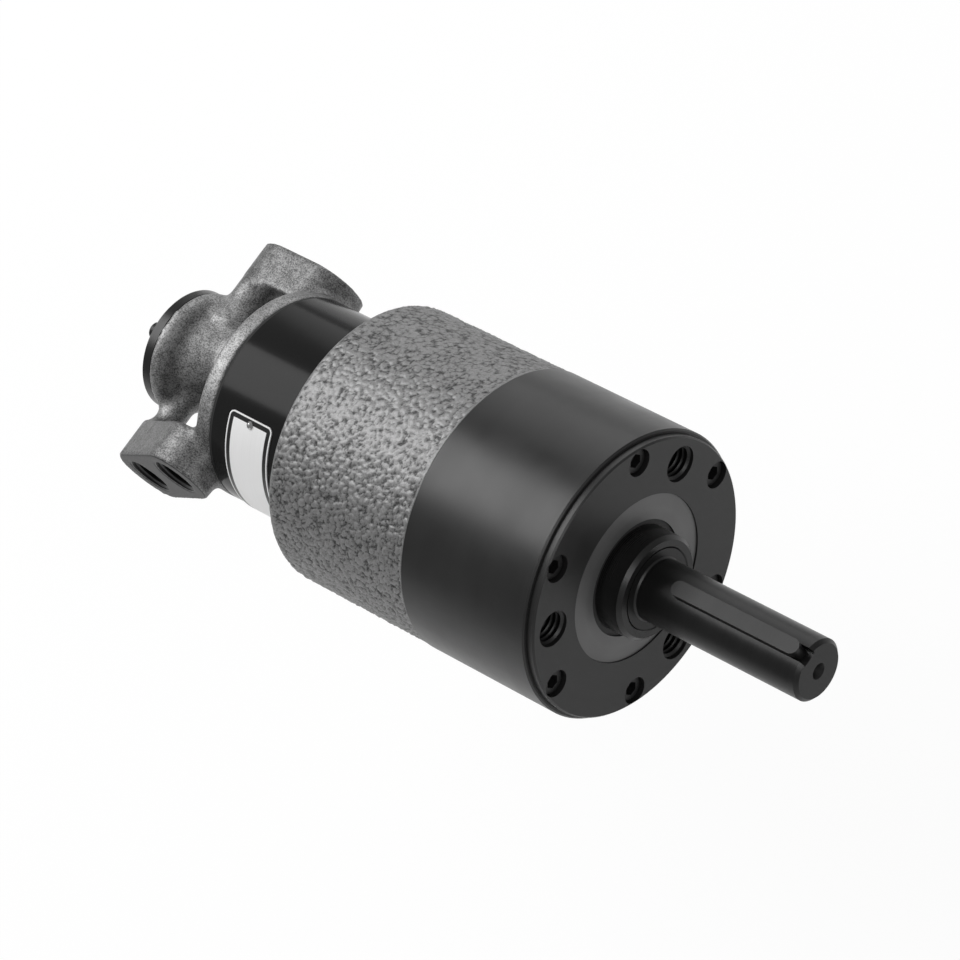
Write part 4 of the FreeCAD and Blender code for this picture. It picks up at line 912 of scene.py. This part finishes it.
@dataclass
class Thread:
    """A helical thread on the wall of a hole."""

    name: str
    mouth: Place
    inward: Place
    radius: float
    pitch: float
    length: float
    height: float
    steps: int = 40
    root: float = 0.3
    lead_in: float = 0.25
    flank: float = 0.46
    crest: float = 0.14

    def build(self, shop: PaintShop, finish: Any, slot: str) -> bpy.types.Object:
        """Wind the ridge down the hole and dress it."""
        mesh = bmesh.new()
        wall = self.radius + self.root
        tip = self.radius - self.height
        half = self.pitch * self.flank
        profile = [(0.0, wall), (half * (1.0 - self.crest), tip), (half * (1.0 + self.crest), tip),
                   (half * 2.0, wall)]
        corners = [mesh.verts.new((r * MM, 0.0, d * MM)) for d, r in profile]
        edges = [mesh.edges.new((a, b)) for a, b in zip(corners, corners[1:] + corners[:1])]
        rounds = int((self.length - self.pitch) / self.pitch)
        bmesh.ops.spin(mesh, geom=corners + edges, cent=(0, 0, 0), axis=(0, 0, 1),
                       dvec=(0, 0, self.pitch * MM / self.steps), angle=math.tau * rounds,
                       steps=rounds * self.steps, use_merge=False, use_duplicate=False)
        bmesh.ops.holes_fill(mesh, edges=[e for e in mesh.edges if e.is_boundary], sides=8)
        direction = Vector(self.inward)
        turn = Vector((0, 0, 1)).rotation_difference(direction).to_matrix().to_4x4()
        start = Vector(self.mouth) + direction * self.lead_in
        bmesh.ops.transform(mesh, matrix=Matrix.Translation(start * MM) @ turn, verts=mesh.verts)
        piece = finish_mesh(self.name, mesh, smooth=False)
        shop.dress(piece, finish)
        return piece


@dataclass
class ThreadSet:
    """The screw threads in the face holes and in the pipe ports."""

    face_clock: float = 26.4
    face_circle: float = 34.925
    face_radius: float = 5.55
    face_pitch: float = 1.814
    face_height: float = 0.85
    inlet_x: float = -162.0
    inlet_spacing: float = 12.1
    inlet_clock: float = 36.0
    pipe_pitch: float = 1.411
    pipe_height: float = 0.65
    length: float = 11.6
    exhaust_length: float = 10.0

    def face_threads(self) -> Iterator[Thread]:
        """The threads of the three mounting holes, about the shaft."""
        for number in range(3):
            angle = math.radians(self.face_clock + 120.0 * number)
            mouth = (0.0, self.face_circle * math.cos(angle), self.face_circle * math.sin(angle))
            yield Thread("face_thread_%d" % (number + 1), mouth, (-1, 0, 0), self.face_radius,
                         self.face_pitch, self.length, self.face_height)

    def pipe_threads(self) -> Iterator[Thread]:
        """The threads of the two inlets and of the exhaust."""
        angle = math.radians(self.inlet_clock)
        for number, side in enumerate((-1, 1)):
            reach = side * self.inlet_spacing
            mouth = (self.inlet_x + reach * math.cos(angle), -BOSS_FACE, reach * math.sin(angle))
            yield Thread("inlet_thread_%d" % (number + 1), mouth, (0, 1, 0), INLET_RADIUS,
                         self.pipe_pitch, self.length, self.pipe_height)
        yield Thread("exhaust_thread", (EXHAUST_X, BOSS_FACE, 0.0), (0, -1, 0), EXHAUST_RADIUS,
                     self.pipe_pitch, self.exhaust_length, self.pipe_height)

    def build(self, shop: PaintShop) -> List[bpy.types.Object]:
        """Wind every thread."""
        face, pipe = Surface.SCREW.value, Surface.PIPE_THREAD_SHADED.value
        return [*(thread.build(shop, face, CASE_SLOT) for thread in self.face_threads()),
                *(thread.build(shop, pipe, CASTING_SLOT) for thread in self.pipe_threads())]


# ------------------------------------------------------------------ studio
@dataclass(frozen=True)
class Softbox:
    """A square area lamp aimed at a point, placed by picture directions in metres."""

    name: str
    right: float
    up: float
    back: float
    size: float
    power: float

    def build(self, view: Matrix, target: Vector) -> None:
        """Hang the lamp.

        Args:
            view: the camera's rotation, whose columns are right, up and back.
            target: the point that the lamp faces.
        """
        lamp = bpy.data.lights.new(self.name, "AREA")
        lamp.shape = "SQUARE"
        lamp.size = self.size
        lamp.energy = self.power
        spot = bpy.data.objects.new(self.name, lamp)
        spot.location = target + view @ Vector((self.right, self.up, self.back))
        spot.rotation_euler = (spot.location - target).to_track_quat("Z", "Y").to_euler()
        bpy.context.scene.collection.objects.link(spot)


@dataclass
class Studio:
    """Camera, floor, lamps and surrounding white; places in metres, angles in degrees."""

    camera_place: Place = (0.750762, -0.294853, 1.103133)
    camera_turn: Place = (31.838888, 22.390650, 38.299086)
    lens: float = 181.1088
    sensor: float = 36.0
    target: Place = (-0.05, 0.0, 0.0)
    floor_height: float = -0.16
    floor_half_width: float = 4.0
    floor_tone: float = 0.92
    floor_glow: float = 0.93
    ambient: float = 0.4
    boxes: Sequence[Softbox] = field(default_factory=lambda: (
        Softbox("left_box", -0.95, 0.66, 0.3, 0.8, 10.6),
        Softbox("top_box", 0.1, 1.05, -0.1, 0.8, 2.8),
        Softbox("front_box", 0.6, -0.3, 1.0, 0.5, 4.2),
    ))

    def camera(self) -> None:
        """Set the camera at the photograph's viewpoint."""
        data = bpy.data.cameras.new("camera")
        data.lens = self.lens
        data.sensor_width = self.sensor
        data.clip_start = 0.05
        data.clip_end = 50.0
        view = bpy.data.objects.new("camera", data)
        view.location = self.camera_place
        view.rotation_euler = [math.radians(angle) for angle in self.camera_turn]
        bpy.context.scene.collection.objects.link(view)
        bpy.context.scene.camera = view

    def floor(self) -> None:
        """Lay a plain pale floor that looks white and keeps the shadow."""
        mesh = bmesh.new()
        bmesh.ops.create_grid(mesh, x_segments=1, y_segments=1, size=self.floor_half_width)
        bmesh.ops.translate(mesh, vec=(0, 0, self.floor_height), verts=mesh.verts)
        data = bpy.data.meshes.new("floor")
        mesh.to_mesh(data)
        mesh.free()
        piece = bpy.data.objects.new("floor", data)
        bpy.context.scene.collection.objects.link(piece)
        bench = Bench("floor_white")
        bench.set(Base_Color=(*[self.floor_tone] * 3, 1.0), Roughness=0.9)
        plain = Wire(bench, bench.shader.outputs[0])
        glow = bench.add("ShaderNodeEmission", {}, {"Color": (1, 1, 1, 1), "Strength": 1.0})
        seen = bench.add("ShaderNodeLightPath", {}, {}, "Is Camera Ray") * self.floor_glow
        mix = bench.add("ShaderNodeMixShader", {}, {0: seen, 1: plain, 2: glow})
        output = next(node for node in bench.tree.nodes if node.type == "OUTPUT_MATERIAL")
        bench.tree.links.new(mix.socket, output.inputs[0])
        data.materials.append(bench.material)

    def surroundings(self) -> None:
        """Soft white world, full white to the camera."""
        world = bpy.data.worlds.new("studio_white")
        world.use_nodes = True
        tree = world.node_tree
        tree.nodes.clear()
        back = tree.nodes.new("ShaderNodeBackground")
        path = tree.nodes.new("ShaderNodeLightPath")
        mix = tree.nodes.new("ShaderNodeMix")
        mix.data_type = "FLOAT"
        mix.inputs[2].default_value = self.ambient
        mix.inputs[3].default_value = 1.0
        output = tree.nodes.new("ShaderNodeOutputWorld")
        tree.links.new(path.outputs["Is Camera Ray"], mix.inputs[0])
        tree.links.new(mix.outputs[0], back.inputs["Strength"])
        tree.links.new(back.outputs[0], output.inputs[0])
        bpy.context.scene.world = world

    def build(self) -> None:
        """Set up the whole studio."""
        self.camera()
        self.floor()
        self.surroundings()
        turn = Euler([math.radians(angle) for angle in self.camera_turn]).to_matrix()
        for box in self.boxes:
            box.build(turn, Vector(self.target))
        bpy.context.scene.view_settings.view_transform = "Standard"


# ------------------------------------------------------------------ the motor
@dataclass
class Motor:
    """The dressed motor: frame nodes with their finishes, and the added pieces."""

    shop: PaintShop = field(default_factory=PaintShop)

    def dress_frame(self) -> None:
        """Give every frame node its finish."""
        slots = {part["node"]: part["material_slot"] for part in frame["record"]["subparts"]}
        plate = PlateFinish("blank_nameplate", middle_x=-124.3, half_width=8.7,
                            middle_clock=math.pi, half_arc=math.radians(58.3), radius=33.4)
        for node in frame["nodes"]:
            if node == "nameplate":
                finish = plate
            else:
                finish = (FINISH_OF_NODE.get(node) or FINISH_OF_SLOT[slots[node]]).value
            self.shop.dress_node(node, finish)
        log.info("dressed %d frame nodes", len(frame["nodes"]))

    def build(self) -> None:
        """Dress the frame and add the modelled pieces."""
        self.dress_frame()
        pieces = [HousingSkin().build(self.shop), CastSkin().build(self.shop)]
        pieces += ThreadSet().build(self.shop)
        for piece in pieces:
            log.info("%s: %d faces", piece.name, len(piece.data.polygons))


def main() -> None:
    """Build the studio and the motor."""
    logging.basicConfig(level=logging.INFO, format="%(name)s: %(message)s")
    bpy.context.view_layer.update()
    Studio().build()
    Motor().build()


if __name__ == "__main__":
    main()
